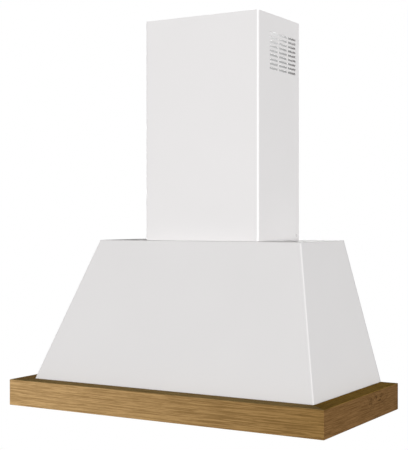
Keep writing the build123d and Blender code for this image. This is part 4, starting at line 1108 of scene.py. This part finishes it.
@dataclass
class GreaseFilter(SubAssembly):
    """One grease filter: frame, sprung latch and layers of expanded mesh."""

    side: Side
    strand_pitch: float = 0.0040
    strand_swing: float = 0.42
    strand_width: float = 0.0012
    strand_sheet: float = 0.0005
    wave: float = 0.0120
    steps_per_wave: int = 6
    lean: float = 0.6
    layers: int = 2
    layer_rise: float = 0.0016
    layer_phase: float = 0.25
    inner_layers: int = 3
    inner_phase: float = 0.37
    inner_scale: float = 1.35
    inner_lift: float = 0.0012
    wires: int = 3
    wire_radius: float = 0.0009
    wire_sides: int = 12
    wire_lift: float = 0.0052
    wire_seat: float = 0.0025

    @property
    def body(self) -> Body:
        """The body that the filter's pieces ride on."""
        return Body.FILTER_LEFT if self.side is Side.LEFT else Body.FILTER_RIGHT

    def finishes(self) -> Finishes:
        """Satin aluminium on the frame, zinc on the latch parts."""
        word = self.side.word
        return {
            ALUMINIUM: (f"{word}_filter_frame",),
            ZINC: (f"{word}_filter_latch", f"{word}_latch_spring", f"{word}_filter_keeper")}

    def layer(self, low: Vector, high: Vector, level: float, phase: float, scale: float = 1.0) -> Surface:
        """One layer of expanded mesh.

        Strand k runs along X as a cosine wave in Y whose crests touch its neighbours', because every other
        strand is half a wave along. Its section is a thin rectangle that leans one way and then the other.

        Args:
            low: the layer's lowest corner.
            high: its highest corner.
            level: the height of its middle.
            phase: how far the waves are moved along, in waves.
            scale: how much coarser the mesh is than the outer layers.

        Returns:
            The points and quads.
        """
        wave = self.wave * scale
        count = int((high.y - low.y) / (self.strand_pitch * scale))
        samples = int((high.x - low.x) / wave * self.steps_per_wave) + 1
        pitch = (high.y - low.y) / count
        k = np.arange(count)[:, None, None]
        x = np.linspace(low.x, high.x, samples)[None, :, None]
        turn = FULL_TURN * (x / wave + phase) + np.pi * k
        line = low.y + (k + 0.5) * pitch + self.strand_swing * pitch * np.cos(turn)
        lean = self.lean * np.sin(turn)
        corner_y, corner_z = oblong(self.strand_width, self.strand_sheet).T
        y = line + corner_y * np.cos(lean) - corner_z * np.sin(lean)
        z = level + corner_y * np.sin(lean) + corner_z * np.cos(lean)
        points = np.stack([np.broadcast_to(x, y.shape), y, z], axis=-1).reshape(-1, 3)
        corners = np.arange(4)
        size = 4 * samples
        strand = np.concatenate([grid_faces(samples, 4), [corners[::-1], corners + size - 4]])
        return points, (strand[None] + (size * np.arange(count))[:, None, None]).reshape(-1, 4)

    def retaining_wires(self, low: Vector, high: Vector) -> Surface:
        """Straight wires over the mesh, from rail to rail, each a circle carried along Y.

        Args:
            low: the mesh's lowest corner.
            high: its highest corner.

        Returns:
            All the wires as one surface.
        """
        profile = circle(self.wire_radius, self.wire_sides)
        level = high.z + self.wire_lift
        made = []
        for i in range(self.wires):
            x = low.x + (high.x - low.x) * (i + 0.5) / self.wires
            path = np.array([[x, low.y - self.wire_seat, level], [x, high.y + self.wire_seat, level]])
            made.append(carried(profile, path, RIGHTWARD, UPWARD))
        return joined(made)

    def build(self) -> list[Piece]:
        """The outer layers of mesh, coarser ones behind them and the wires that hold them in the frame.

        Returns:
            Three pieces that ride on the filter.
        """
        word = self.side.word
        low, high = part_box(f"{word}_filter_mesh")
        first = (low.z + high.z) / 2 - self.layer_rise * (self.layers - 1) / 2
        outer = [
            self.layer(low, high, first + i * self.layer_rise, self.layer_phase * i)
            for i in range(self.layers)]
        first = high.z + self.inner_lift
        inner = [
            self.layer(low, high, first + i * self.layer_rise, self.inner_phase * i, self.inner_scale)
            for i in range(self.inner_layers)]
        wires = self.retaining_wires(low, high)
        return [
            Piece(f"{word}_expanded_mesh", joined(outer), ALUMINIUM, f"{word}_filter_mesh", self.body),
            Piece(f"{word}_inner_mesh", joined(inner), ALUMINIUM, body=self.body),
            Piece(f"{word}_retaining_wires", wires, ZINC, body=self.body)]


@dataclass
class Lamp(SubAssembly):
    """One lamp: polished bezel, ribbed lens and finned housing."""

    side: Side
    ribs: int = 9
    rib_depth: float = 0.0004
    rings_per_rib: int = 8
    segments: int = 64
    clip_width: float = 0.008
    clip_sheet: float = 0.0006
    clip_start: Pair = (0.0304, 0.0265)
    clip_bend: Pair = (0.0304, 0.0166)
    clip_end: Pair = (0.0430, 0.0174)
    clip_rings: int = 17

    def finishes(self) -> Finishes:
        """Polish on the bezel, satin aluminium on the housing."""
        return {CHROME: (f"{self.side.word}_lamp_bezel",), ALUMINIUM: (f"{self.side.word}_lamp_housing",)}

    def lens(self, radius: float, thickness: float) -> Surface:
        """A disc whose lower face has round ribs, a cosine of the distance from the middle.

        Args:
            radius: the disc's radius.
            thickness: its thickness.

        Returns:
            The points and quads.
        """
        out = np.linspace(0.0, radius, self.rings_per_rib * self.ribs + 1)
        ribbed = self.rib_depth * (0.5 - 0.5 * np.cos(FULL_TURN * self.ribs * out / radius))
        reach = np.concatenate([out, [radius, 0.0]])
        return turned(reach, np.concatenate([ribbed, [thickness] * 2]), self.segments)

    def clip(self, foot: np.ndarray, way: Side) -> Surface:
        """A leaf spring from the bezel's tube to the panel: a strip along a quadratic curve of three points.

        Args:
            foot: the lamp's middle, at the origin's level.
            way: the side of the lamp that the clip is on.

        Returns:
            The points and quads.
        """
        t = np.linspace(0.0, 1.0, self.clip_rings)[:, None]
        start, bend, end = np.array([self.clip_start, self.clip_bend, self.clip_end])
        path = (1.0 - t) ** 2 * start + 2.0 * t * (1.0 - t) * bend + t ** 2 * end
        ways = np.array([way.outward, UPWARD, REARWARD])
        return bent_strip(path, self.clip_width, self.clip_sheet, foot, ways)

    def build(self) -> list[Piece]:
        """The ribbed lens, and a clip on each side of the lamp.

        Returns:
            Both pieces.
        """
        word = self.side.word
        low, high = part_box(f"{word}_lamp_lens")
        x, y, _ = (low + high) / 2
        lens = laid(self.lens((high.x - low.x) / 2, high.z - low.z), (x, y, low.z), UPWARD)
        clips = joined([self.clip(np.array([x, y, 0.0]), way) for way in Side])
        return [
            Piece(f"{word}_ribbed_lens", lens, LENS, f"{word}_lamp_lens"),
            Piece(f"{word}_lamp_clips", clips, ZINC)]


class Mark(Enum):
    """What is printed on each button."""

    RING = "off"
    ONE_DOT = "speed_low"
    TWO_DOTS = "speed_medium"
    THREE_DOTS = "speed_high"
    LAMP = "light"

    @property
    def button(self) -> str:
        """The node and the body of the button that has the mark."""
        return f"button_{self.value}"


@dataclass
class Controls(SubAssembly):
    """The fascia, its buttons with printed marks, the box and the board behind."""

    dot: float = 0.0009
    dot_pitch: float = 0.0030
    dot_rings: int = 4
    dot_segments: int = 20
    ring: float = 0.0030
    ring_width: float = 0.0005
    ring_sides: int = 8
    ring_segments: int = 40
    print_height: float = 0.00008
    rays: int = 8
    ray_reach: float = 0.0046

    def finishes(self) -> Finishes:
        """Black fascia, glossy buttons, grey box, green board."""
        return {
            BLACK_PLASTIC: ("control_fascia",),
            GREY_PLASTIC: ("control_box",),
            BOARD: ("control_board",),
            BUTTON_PLASTIC: tuple(mark.button for mark in Mark)}

    def spot(self, x: float, y: float) -> Surface:
        """A printed dot: a low dome, turned about its axis.

        Args:
            x: where its axis is to the right of the origin.
            y: where it is behind the origin.

        Returns:
            The points and quads.
        """
        sweep = np.linspace(0.0, np.pi / 2, self.dot_rings)
        radius = np.concatenate([[0.0], self.dot * np.cos(sweep)])
        level = np.concatenate([[0.0], self.print_height * np.sin(sweep)])
        return laid(turned(radius, level, self.dot_segments), (x, y, 0.0), UPWARD)

    def hoop(self) -> Surface:
        """A printed ring: a flat oval section turned about the origin.

        Returns:
            The points and quads.
        """
        around = np.linspace(0.0, FULL_TURN, self.ring_sides + 1)
        radius = self.ring + 0.5 * self.ring_width * np.cos(around)
        return turned(radius, self.print_height * np.sin(around), self.ring_segments)

    def printed(self, mark: Mark) -> Surface:
        """A mark about the origin, facing +Z.

        Args:
            mark: which mark.

        Returns:
            Its surface.
        """
        if mark is Mark.RING:
            return self.hoop()
        if mark is Mark.LAMP:
            rays = [self.spot(x, y) for x, y in circle(self.ray_reach, self.rays)]
            return joined([self.hoop(), *rays])
        count = [Mark.ONE_DOT, Mark.TWO_DOTS, Mark.THREE_DOTS].index(mark) + 1
        return joined([self.spot(self.dot_pitch * (i - (count - 1) / 2), 0.0) for i in range(count)])

    def build(self) -> list[Piece]:
        """A printed mark on the face of each button.

        Returns:
            Each mark, riding on its button.
        """
        made = []
        for mark in Mark:
            x, y, _ = middle_of(mark.button)
            surface = laid(self.printed(mark), (x, y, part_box(mark.button)[0].z), DOWNWARD)
            made.append(Piece(f"print_{mark.value}", surface, WHITE_PLASTIC, body=Body(mark.button)))
        return made


class FanPart(SubAssembly):
    """A sub-assembly that is set out from the fan's axis."""

    @property
    def axis(self) -> Pair:
        """The axis, as its Y and Z."""
        _, y, z = middle_of("motor_shaft")
        return y, z


@dataclass
class Casing(FanPart):
    """The blower's casing and impeller.

    The casing's scroll is three quarter circles, from the rear down and round to the front's top. Their
    radii shrink and their middles move by one step from each to the next.
    """

    scroll: float = 0.0862
    scroll_step: float = 0.010
    quarter_steps: tuple[Pair, ...] = ((1.0, 1.0), (1.0, 0.0), (0.0, 0.0))
    quarter_points: int = 33
    neck_front: float = -0.1762
    neck_rear: float = -0.0578
    neck_top: float = 0.4268
    neck_foot: float = 0.346
    neck_steps: float = 2.0
    neck_points: int = 9
    seam_sheet: float = 0.003
    seam_height: float = 0.005
    seam_sink: float = 0.0005
    seam_short: int = 2
    clips: int = 9
    clip_ends: tuple[int, int] = (4, 8)
    clip_half: float = 0.0024
    clip_leg: float = 0.0036
    clip_width: float = 0.010
    clip_sheet: float = 0.0007
    clip_points: int = 13
    foot_spread: float = 1.6
    foot_rise: float = 3.0
    inlet: float = 0.0619
    inlet_wall: float = 0.0013
    inlet_depth: float = 0.0080
    inlet_segments: int = 96
    lip: float = 0.0042
    lip_shift: float = 0.35
    lip_swing: float = 0.65
    lip_rise: float = 0.5
    lip_points: int = 13

    def finishes(self) -> Finishes:
        """Black casing, grey impeller."""
        return {BLACK_PLASTIC: ("left_blower_casing", "right_blower_casing"), GREY_PLASTIC: ("impeller",)}

    def quarter(self, number: int) -> tuple[np.ndarray, np.ndarray]:
        """One quarter of the scroll's outline, in the middle plane.

        Args:
            number: 0 for the rear one, 1 for the lower front, 2 for the upper front.

        Returns:
            The points and the ways out of the casing.
        """
        moved = self.scroll_step * np.array([0.0, *self.quarter_steps[number]])
        radius = self.scroll + self.scroll_step * (len(self.quarter_steps) - 1 - number)
        turn = -0.5 * np.pi * (number + np.linspace(0.0, 1.0, self.quarter_points))
        out = np.stack([np.zeros(self.quarter_points), np.cos(turn), np.sin(turn)], axis=-1)
        return np.array([0.0, *self.axis]) + moved + radius * out, out

    def seam_path(self) -> tuple[np.ndarray, np.ndarray]:
        """The seam's line, down the neck's rear and round the scroll.

        Returns:
            The points and the ways out of the casing.
        """
        foot = self.axis[1] + self.neck_steps * self.scroll_step
        levels = np.linspace(self.neck_top, foot, self.neck_points)
        rear = np.stack([np.zeros_like(levels), np.full_like(levels, self.neck_rear), levels], axis=-1)
        paths, ways = zip(*[self.quarter(number) for number in range(len(self.quarter_steps))])
        path = np.concatenate([rear, *paths])
        out = np.concatenate([np.broadcast_to(REARWARD, rear.shape), *ways])
        return path[:-self.seam_short], out[:-self.seam_short]

    def seam(self) -> Surface:
        """The raised joint of the halves: an oblong carried along the seam, and one up the neck's front.

        Returns:
            The points and quads.
        """
        profile = oblong(self.seam_sheet, self.seam_height + self.seam_sink)
        profile = profile + np.array([0.0, (self.seam_height - self.seam_sink) / 2])
        front = np.array([[0.0, self.neck_front, level] for level in (self.neck_foot, self.neck_top)])
        path, out = self.seam_path()
        return joined([
            carried(profile, path, RIGHTWARD, out),
            carried(profile, front, RIGHTWARD, FRONTWARD)])

    def seam_clips(self) -> Surface:
        """Spring clips over the joint: a strip up one side, over a half circle and down the other.

        Returns:
            All the clips as one surface.
        """
        path, out = self.seam_path()
        turn = np.linspace(np.pi, 0.0, self.clip_points)
        arch = self.clip_half * np.stack([np.cos(turn), np.sin(turn)], axis=-1) + [0.0, self.clip_leg]
        toe = [self.foot_spread * self.clip_half, self.clip_sheet]
        ankle = [self.clip_half, self.foot_rise * self.clip_sheet]
        feet = np.array([toe, ankle])
        strip = np.concatenate([feet * [-1.0, 1.0], arch, feet[::-1]])
        first, last = self.clip_ends
        made = []
        for place in np.linspace(first, len(path) - last, self.clips).astype(int):
            ways = np.array([RIGHTWARD, out[place], np.cross(out[place], RIGHTWARD)])
            made.append(bent_strip(strip, self.clip_width, self.clip_sheet, path[place], ways))
        return joined(made)

    def inlet_ring(self, side: Side) -> Surface:
        """A thin ring in an inlet, turned about the fan's axis. The free right inlet has a rolled lip.

        Args:
            side: which inlet.

        Returns:
            The points and quads.
        """
        bore = self.inlet - self.inlet_wall
        rim = np.array([[self.inlet, 0.0]])
        if side is Side.RIGHT:
            turn = np.linspace(np.pi, 0.0, self.lip_points)
            reach = self.inlet + self.lip * (self.lip_shift + self.lip_swing * np.cos(turn))
            rim = np.stack([reach, self.lip * self.lip_rise * np.sin(turn)], axis=-1)
        inside = [[bore, -self.inlet_depth], [bore, 0.0]]
        outside = [[self.inlet, 0.0], [self.inlet, -self.inlet_depth], inside[0]]
        loop = np.concatenate([inside, rim, outside])
        casing_face = -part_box("motor_bracket")[1].x
        ring = turned(loop[:, 0], loop[:, 1], self.inlet_segments)
        return laid(ring, (side.value * casing_face, *self.axis), side.outward)

    def build(self) -> list[Piece]:
        """The casing's joint, its clips and the inlet rings.

        Returns:
            The three pieces.
        """
        return [
            Piece("casing_seam", self.seam(), BLACK_PLASTIC),
            Piece("casing_clips", self.seam_clips(), ZINC),
            Piece("inlet_rings", joined([self.inlet_ring(side) for side in Side]), BLACK_PLASTIC)]


@dataclass
class Capacitor(SubAssembly):
    """The motor's run capacitor. Its cap's profile is in shares of its radius, out from the axis and up."""

    radius: float = 0.015
    cap_profile: tuple[Pair, ...] = (
        (0.0, 0.0), (1.0, 0.0), (1.04, 0.03), (1.04, 0.10), (0.97, 0.14), (0.93, 0.10), (0.93, 0.16),
        (0.9, 0.20), (0.6, 0.26), (0.0, 0.28))
    cap_segments: int = 64
    tab_width: float = 0.0063
    tab_sheet: float = 0.0008
    tab_height: float = 0.009
    tab_spread: float = 0.006

    def finishes(self) -> Finishes:
        """A white can."""
        return {WHITE_PLASTIC: ("run_capacitor",)}

    def top(self) -> Triple:
        """The middle of the can's upper end."""
        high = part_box("run_capacitor")[1]
        return high.x - self.radius, middle_of("run_capacitor").y, high.z

    def cap(self) -> Surface:
        """The domed end, turned: a crimped rim, a groove and a low dome."""
        reach, level = self.radius * np.array(self.cap_profile).T
        return laid(turned(reach, level, self.cap_segments), self.top(), UPWARD)

    def tabs(self) -> Surface:
        """Two blade terminals: an oblong carried upwards.

        Returns:
            Both as one surface.
        """
        blade = oblong(self.tab_sheet, self.tab_width)
        made = []
        for side in Side:
            foot = np.array(self.top()) + [0.0, side.value * self.tab_spread, 0.0]
            path = np.array([foot, foot + [0.0, 0.0, self.tab_height]])
            made.append(carried(blade, path, REARWARD, RIGHTWARD))
        return joined(made)

    def build(self) -> list[Piece]:
        """The cap and its terminals."""
        return [
            Piece("capacitor_cap", self.cap(), WHITE_PLASTIC),
            Piece("capacitor_tabs", self.tabs(), ZINC)]


@dataclass
class Motor(FanPart):
    """The motor, its shaft, bearings, bracket and screws."""

    vent_inner: float = 0.0135
    vent_outer: float = 0.0385
    vent_height: float = 0.0016
    vent_sink: float = 0.1
    vent_points: int = 15
    edge_slope: float = 6.0
    edge_floor: float = 0.2
    ribs: int = 14
    rib_slope: float = 2.5
    rib_drop: float = 0.75
    rib_floor: float = 0.15
    segments_per_rib: int = 20
    screw_reach: float = 0.070
    screw_turns: tuple[float, ...] = (30.0, 150.0, 270.0)
    screw_length: float = 0.0042

    def finishes(self) -> Finishes:
        """Zinc all over."""
        return {ZINC: ("motor", "motor_shaft", "motor_bearings", "motor_bracket")}

    def vent(self) -> Surface:
        """The motor's ribbed end: a ring whose face rises in radial ribs, a raised cosine of the turn.

        Returns:
            The points and quads.
        """
        share = np.linspace(0.0, 1.0, self.vent_points)
        inner = np.clip(self.edge_slope * share, self.edge_floor, 1.0)
        outer = np.clip(self.edge_slope * (1.0 - share), self.edge_floor, 1.0)
        raised = np.concatenate([[0.0], inner * outer, [0.0, 0.0]])
        reach = np.concatenate([[0.0], share, [1.0, 0.0]])
        radius = self.vent_inner + (self.vent_outer - self.vent_inner) * reach
        points, quads = turned(radius, raised, self.segments_per_rib * self.ribs)
        rib = 0.5 + 0.5 * np.cos(self.ribs * np.arctan2(points[:, 1], points[:, 0]))
        rib = np.clip(self.rib_slope * rib - self.rib_drop, self.rib_floor, 1.0)
        points[:, 2] = self.vent_height * (rib * points[:, 2] - self.vent_sink)
        return laid((points, quads), (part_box("motor")[0].x, *self.axis), LEFTWARD)

    def build(self) -> list[Piece]:
        """The ribbed end and the bracket's screws.

        Returns:
            Both pieces.
        """
        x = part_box("motor_bracket")[0].x
        turns = np.radians(self.screw_turns)
        y = self.axis[0] + self.screw_reach * np.cos(turns)
        z = self.axis[1] + self.screw_reach * np.sin(turns)
        screws = screw_set([((x, *place), LEFTWARD) for place in zip(y, z)], self.screw_length)
        return [
            Piece("motor_vent", self.vent(), ZINC),
            Piece("motor_bracket_screw_set", screws, ZINC, "motor_bracket_screws")]


@dataclass
class Outlet(SubAssembly):
    """The collar for the duct, its two flaps, their pins and the collar's screws."""

    screw_length: float = 0.0102

    def finishes(self) -> Finishes:
        """Black collar, grey flaps, plated pins."""
        return {
            BLACK_PLASTIC: ("outlet_collar",),
            GREY_PLASTIC: ("damper_flap_front", "damper_flap_rear"),
            ZINC: ("damper_pins",)}

    def build(self) -> list[Piece]:
        """The four screws at the collar's corners.

        Returns:
            One set of screws.
        """
        low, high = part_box("collar_screws")
        columns = (low.x + SCREW.head, high.x - SCREW.head)
        rows = (low.y + SCREW.head, high.y - SCREW.head)
        seats = [((x, y, high.z - SCREW.head_height), UPWARD) for x in columns for y in rows]
        return [Piece("collar_screw_set", screw_set(seats, self.screw_length), ZINC, "collar_screws")]


@dataclass
class Wiring(SubAssembly):
    """Terminal box, cable grommet, inner lead and its clips.

    The lid's profile is in shares of its reach and its thickness.
    """

    lid_sheet: float = 0.0025
    lid_overhang: float = 0.0015
    lid_squareness: float = 10.0
    lid_profile: tuple[Pair, ...] = (
        (0.0, 1.0), (0.80, 1.0), (0.93, 0.97), (0.98, 0.82), (1.0, 0.5), (1.0, 0.0), (0.0, 0.0))
    lid_segments: int = 128
    screw_inset: float = 0.008
    screw_length: float = 0.006
    lead_radius: float = 0.003
    gland_bore: float = 0.0031
    gland_tip: float = 0.0012
    gland_nut: float = 0.0085
    gland_nut_height: float = 0.005
    gland_shoulder: float = 0.8
    gland_length: float = 0.022
    gland_ribs: int = 5
    gland_ripple: float = 0.0005
    rings_per_rib: int = 12
    gland_segments: int = 48

    def finishes(self) -> Finishes:
        """Grey box, black rubber and white clips."""
        return {
            GREY_PLASTIC: ("terminal_box",),
            RUBBER: ("cable_grommet", "control_lead"),
            WHITE_PLASTIC: ("lead_clips",)}

    def lid(self, low: Vector, high: Vector) -> Surface:
        """The terminal box's lid: a soft-edged plate whose outline is a superellipse.

        Ring by ring, the outline's reach grows from the middle to the rim. The face bends back to the box.

        Args:
            low: the box's lowest corner.
            high: its highest corner.

        Returns:
            The points and quads.
        """
        reach, level = np.array(self.lid_profile).T
        points, quads = turned(reach, self.lid_sheet * level, self.lid_segments)
        around = np.arctan2(points[:, 1], points[:, 0])
        power = self.lid_squareness
        stretch = (np.abs(np.cos(around)) ** power + np.abs(np.sin(around)) ** power) ** (-1.0 / power)
        half = np.array([(high.x - low.x) / 2, (high.z - low.z) / 2]) + self.lid_overhang
        points[:, :2] = points[:, :2] * stretch[:, None] * half
        return laid((points, quads), ((low.x + high.x) / 2, low.y, (low.z + high.z) / 2), FRONTWARD)

    def gland(self, x: float, z: float) -> Surface:
        """The lead's ribbed strain relief, turned: a nut, then a cone whose radius ripples with a cosine.

        Args:
            x: where its axis is to the right of the hood's middle.
            z: the level that it hangs from.

        Returns:
            The points and quads.
        """
        rings = self.rings_per_rib * self.gland_ribs + 1
        drop = np.linspace(self.gland_nut_height, self.gland_length, rings)
        share = (drop - drop[0]) / (drop[-1] - drop[0])
        shoulder, tip = self.gland_shoulder * self.gland_nut, self.gland_bore + self.gland_tip
        cone = shoulder * (1.0 - share) + tip * share
        ripple = self.gland_ripple * np.cos(FULL_TURN * self.gland_ribs * share)
        nut = [self.gland_bore, self.gland_nut, self.gland_nut]
        radius = np.concatenate([nut, cone + ripple, [self.gland_bore] * 2])
        level = np.concatenate([[0.0, 0.0, drop[0]], drop, [drop[-1], 0.0]])
        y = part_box("control_lead")[1].y - self.lead_radius
        return laid(turned(radius, level, self.gland_segments), (x, y, z), DOWNWARD)

    def build(self) -> list[Piece]:
        """The terminal box's lid, its two screws and the lead's strain relief.

        Returns:
            The three pieces.
        """
        low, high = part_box("terminal_box")
        face = low.y - self.lid_sheet
        left = (low.x + self.screw_inset, face, high.z - self.screw_inset)
        right = (high.x - self.screw_inset, face, low.z + self.screw_inset)
        screws = screw_set([(left, FRONTWARD), (right, FRONTWARD)], self.screw_length)
        return [
            Piece("terminal_box_lid", self.lid(low, high), GREY_PLASTIC),
            Piece("terminal_box_screw_set", screws, ZINC),
            Piece("lead_gland", self.gland((low.x + high.x) / 2, low.z), RUBBER)]


# Studio


@dataclass(frozen=True)
class Sun:
    """A soft light from far away. It stands to the right of the hood's front and above it, in degrees.

    A light without gloss leaves no reflection of itself in metal. One that isn't matt leaves nothing else.
    """

    name: str
    azimuth: float
    elevation: float
    strength: float
    softness: float
    matt: bool = True
    gloss: bool = True

    def hang(self) -> None:
        """Puts the light in the scene."""
        data = bpy.data.lights.new(self.name, "SUN")
        data.energy = self.strength
        data.angle = math.radians(self.softness)
        azimuth, elevation = math.radians(self.azimuth), math.radians(self.elevation)
        flat = math.cos(elevation)
        away = Vector((math.sin(azimuth) * flat, -math.cos(azimuth) * flat, math.sin(elevation)))
        light = bpy.data.objects.new(self.name, data)
        light.rotation_euler = (-away).to_track_quat("-Z", "Y").to_euler()
        light.visible_diffuse = self.matt
        light.visible_glossy = self.gloss
        bpy.context.scene.collection.objects.link(light)


@dataclass
class Studio:
    """Camera, soft light, pale floor and a glowing bit of wall behind the chimney, with painted light and
    shade.
    """

    eye: Triple = (1.439, -2.637, 0.487)
    yaw: float = math.radians(30.72)
    lens: float = 86.56
    sensor: float = 36.0
    shift: float = -0.0129
    suns: tuple[Sun, ...] = (
        Sun("key", 41.2, 0.8, 2.94, 6.0),
        Sun("rear_fill", -160.0, -3.0, 1.0, 30.0),
        Sun("left_fill", -100.0, 0.0, 0.9, 20.0),
        Sun("top_fill", 0.0, 90.0, 0.12, 20.0),
        Sun("under_fill", 0.0, -90.0, 1.6, 20.0, gloss=False),
        Sun("under_glow", 0.0, -90.0, 0.65, 100.0, matt=False))
    level_glow: Colour = (0.44, 0.44, 0.44)
    high_glow: Colour = (0.110, 0.108, 0.100)
    low_glow: Colour = (0.17, 0.17, 0.17)
    high_reach: float = 0.8
    low_reach: float = 0.6
    floor_level: float = -0.9
    floor_radius: float = 3.2
    floor_clear: float = 0.7
    floor_segments: int = 96
    floor_tones: tuple[Colour, Colour] = ((0.82, 0.82, 0.81), (0.84, 0.84, 0.83))
    floor_clouds_per_metre: float = 2.0
    floor_roughness: float = 0.9
    floor_glow: float = 0.7
    wall_box: tuple[float, float, float, float] = (-0.165, 0.165, 0.435, 1.010)
    wall_gap: float = 0.001
    # The wall's two tones are painted shade and painted light, which it glows with.
    wall_dark: Colour = (0.22, 0.22, 0.22)
    wall_light: Colour = (0.77, 0.77, 0.77)
    wall_fall: Pair = (0.100, 0.170)
    wall_rise: Pair = (0.93, 1.01)
    wall_low_share: float = 0.44

    def camera(self) -> None:
        """A level camera at the photograph's place."""
        data = bpy.data.cameras.new("camera")
        data.lens = self.lens
        data.sensor_width = self.sensor
        data.shift_y = self.shift
        camera = bpy.data.objects.new("camera", data)
        camera.location = self.eye
        camera.rotation_euler = (math.pi / 2, 0.0, self.yaw)
        bpy.context.scene.collection.objects.link(camera)
        bpy.context.scene.camera = camera

    def world(self) -> None:
        """White behind the hood. For its light, a glow that is strongest level with it and weak overhead."""
        recipe = Recipe(bpy.data.worlds.new("studio"))
        up = recipe.parts(recipe.add("ShaderNodeTexCoord").outputs["Generated"])[2]
        glow = recipe.mix(up.step(0.0, self.high_reach), self.level_glow, self.high_glow)
        glow = recipe.mix((0.0 - up).step(0.0, self.low_reach), glow, self.low_glow)
        colour = recipe.mix(recipe.seen(), glow, WHITE)
        shader = recipe.add("ShaderNodeBackground", {}, {"Color": colour})
        recipe.add("ShaderNodeOutputWorld", {}, {"Surface": shader.outputs[0]})
        bpy.context.scene.world = recipe.owner
        bpy.context.scene.view_settings.view_transform = "Standard"

    def backdrop(self, name: str, surface: Surface, recipe: Recipe, shader: bpy.types.Node,
                 cover: Number = 1.0) -> None:
        """A staged surface that isn't part of the hood: the camera sees its front, and light passes it.

        Args:
            name: its name.
            surface: the points and quads.
            recipe: its material's tree.
            shader: the shader of its front.
            cover: how much of it shows, from 0 to 1.
        """
        clear = recipe.add("ShaderNodeBsdfTransparent")
        back = Value(recipe, recipe.add("ShaderNodeNewGeometry").outputs["Backfacing"])
        share = recipe.seen() * (1.0 - back) * cover
        mixed = recipe.add("ShaderNodeMixShader", {}, {0: share, 1: clear.outputs[0], 2: shader.outputs[0]})
        recipe.add("ShaderNodeOutputMaterial", {}, {"Surface": mixed.outputs[0]})
        mesh = bpy.data.meshes.new(name)
        mesh.from_pydata(surface[0], [], surface[1])
        mesh.materials.append(recipe.owner)
        piece = bpy.data.objects.new(name, mesh)
        bpy.context.scene.collection.objects.link(piece)

    def floor(self) -> None:
        """A plain pale floor that fades into the white behind it."""
        recipe = Recipe.material("pale_floor")
        place = recipe.place()
        x, y, _ = recipe.parts(place)
        cover = 1.0 - ((x * x + y * y) ** 0.5).step(self.floor_clear, self.floor_radius)
        tone = recipe.mix(recipe.clouds(place, self.floor_clouds_per_metre), *self.floor_tones)
        shader = recipe.add("ShaderNodeBsdfPrincipled", {}, {
            "Base Color": tone, "Roughness": self.floor_roughness,
            "Emission Color": tone, "Emission Strength": self.floor_glow})
        disc = turned(np.array([self.floor_radius, 0.0]), np.full(2, self.floor_level), self.floor_segments)
        self.backdrop("pale_floor", disc, recipe, shader, cover)

    def wall(self) -> None:
        """The wall seen through the vents, a glowing patch of painted light and shade: lightest in the
        middle and at the top, where light would fall in.
        """
        recipe = Recipe.material("wall_with_painted_light_and_shade")
        x, _, z = recipe.parts(recipe.place())
        middle = 1.0 - ((x * x) ** 0.5).step(*self.wall_fall)
        # Painted light and shade: the glow's tone by place; no lamp lights this patch.
        light = middle * (self.wall_low_share + (1.0 - self.wall_low_share) * z.step(*self.wall_rise))
        shader = recipe.add(
            "ShaderNodeEmission", {}, {"Color": recipe.mix(light, self.wall_dark, self.wall_light)})
        left, right, low, high = self.wall_box
        y = self.wall_gap
        corners = np.array([[left, y, low], [right, y, low], [right, y, high], [left, y, high]])
        self.backdrop("wall_with_painted_light_and_shade", (corners, np.array([[0, 1, 2, 3]])), recipe, shader)

    def build(self) -> None:
        """Sets the whole studio up: a key from the front, and fills for what the key misses."""
        self.camera()
        self.world()
        for sun in self.suns:
            sun.hang()
        self.floor()
        self.wall()
        LOG.info("set the studio")


@dataclass
class RangeHood:
    """All the hood's sub-assemblies."""

    parts: list[SubAssembly] = field(default_factory=lambda: [
        OakFrame(), Canopy(), Chimney(), GreaseFilter(Side.LEFT), GreaseFilter(Side.RIGHT), Lamp(Side.LEFT),
        Lamp(Side.RIGHT), Controls(), Casing(), Capacitor(), Motor(), Outlet(), Wiring()])

    def build(self, workshop: Workshop) -> None:
        """Dresses each sub-assembly's solids and makes its new pieces.

        Args:
            workshop: where the materials come from.
        """
        for part in self.parts:
            part.dress(workshop)
            for piece in part.build():
                piece.make(workshop)


def main() -> None:
    """Builds the studio and the hood."""
    logging.basicConfig(level=logging.INFO, format="%(name)s: %(message)s")
    Studio().build()
    RangeHood().build(Workshop())


if __name__ == "__main__":
    main()
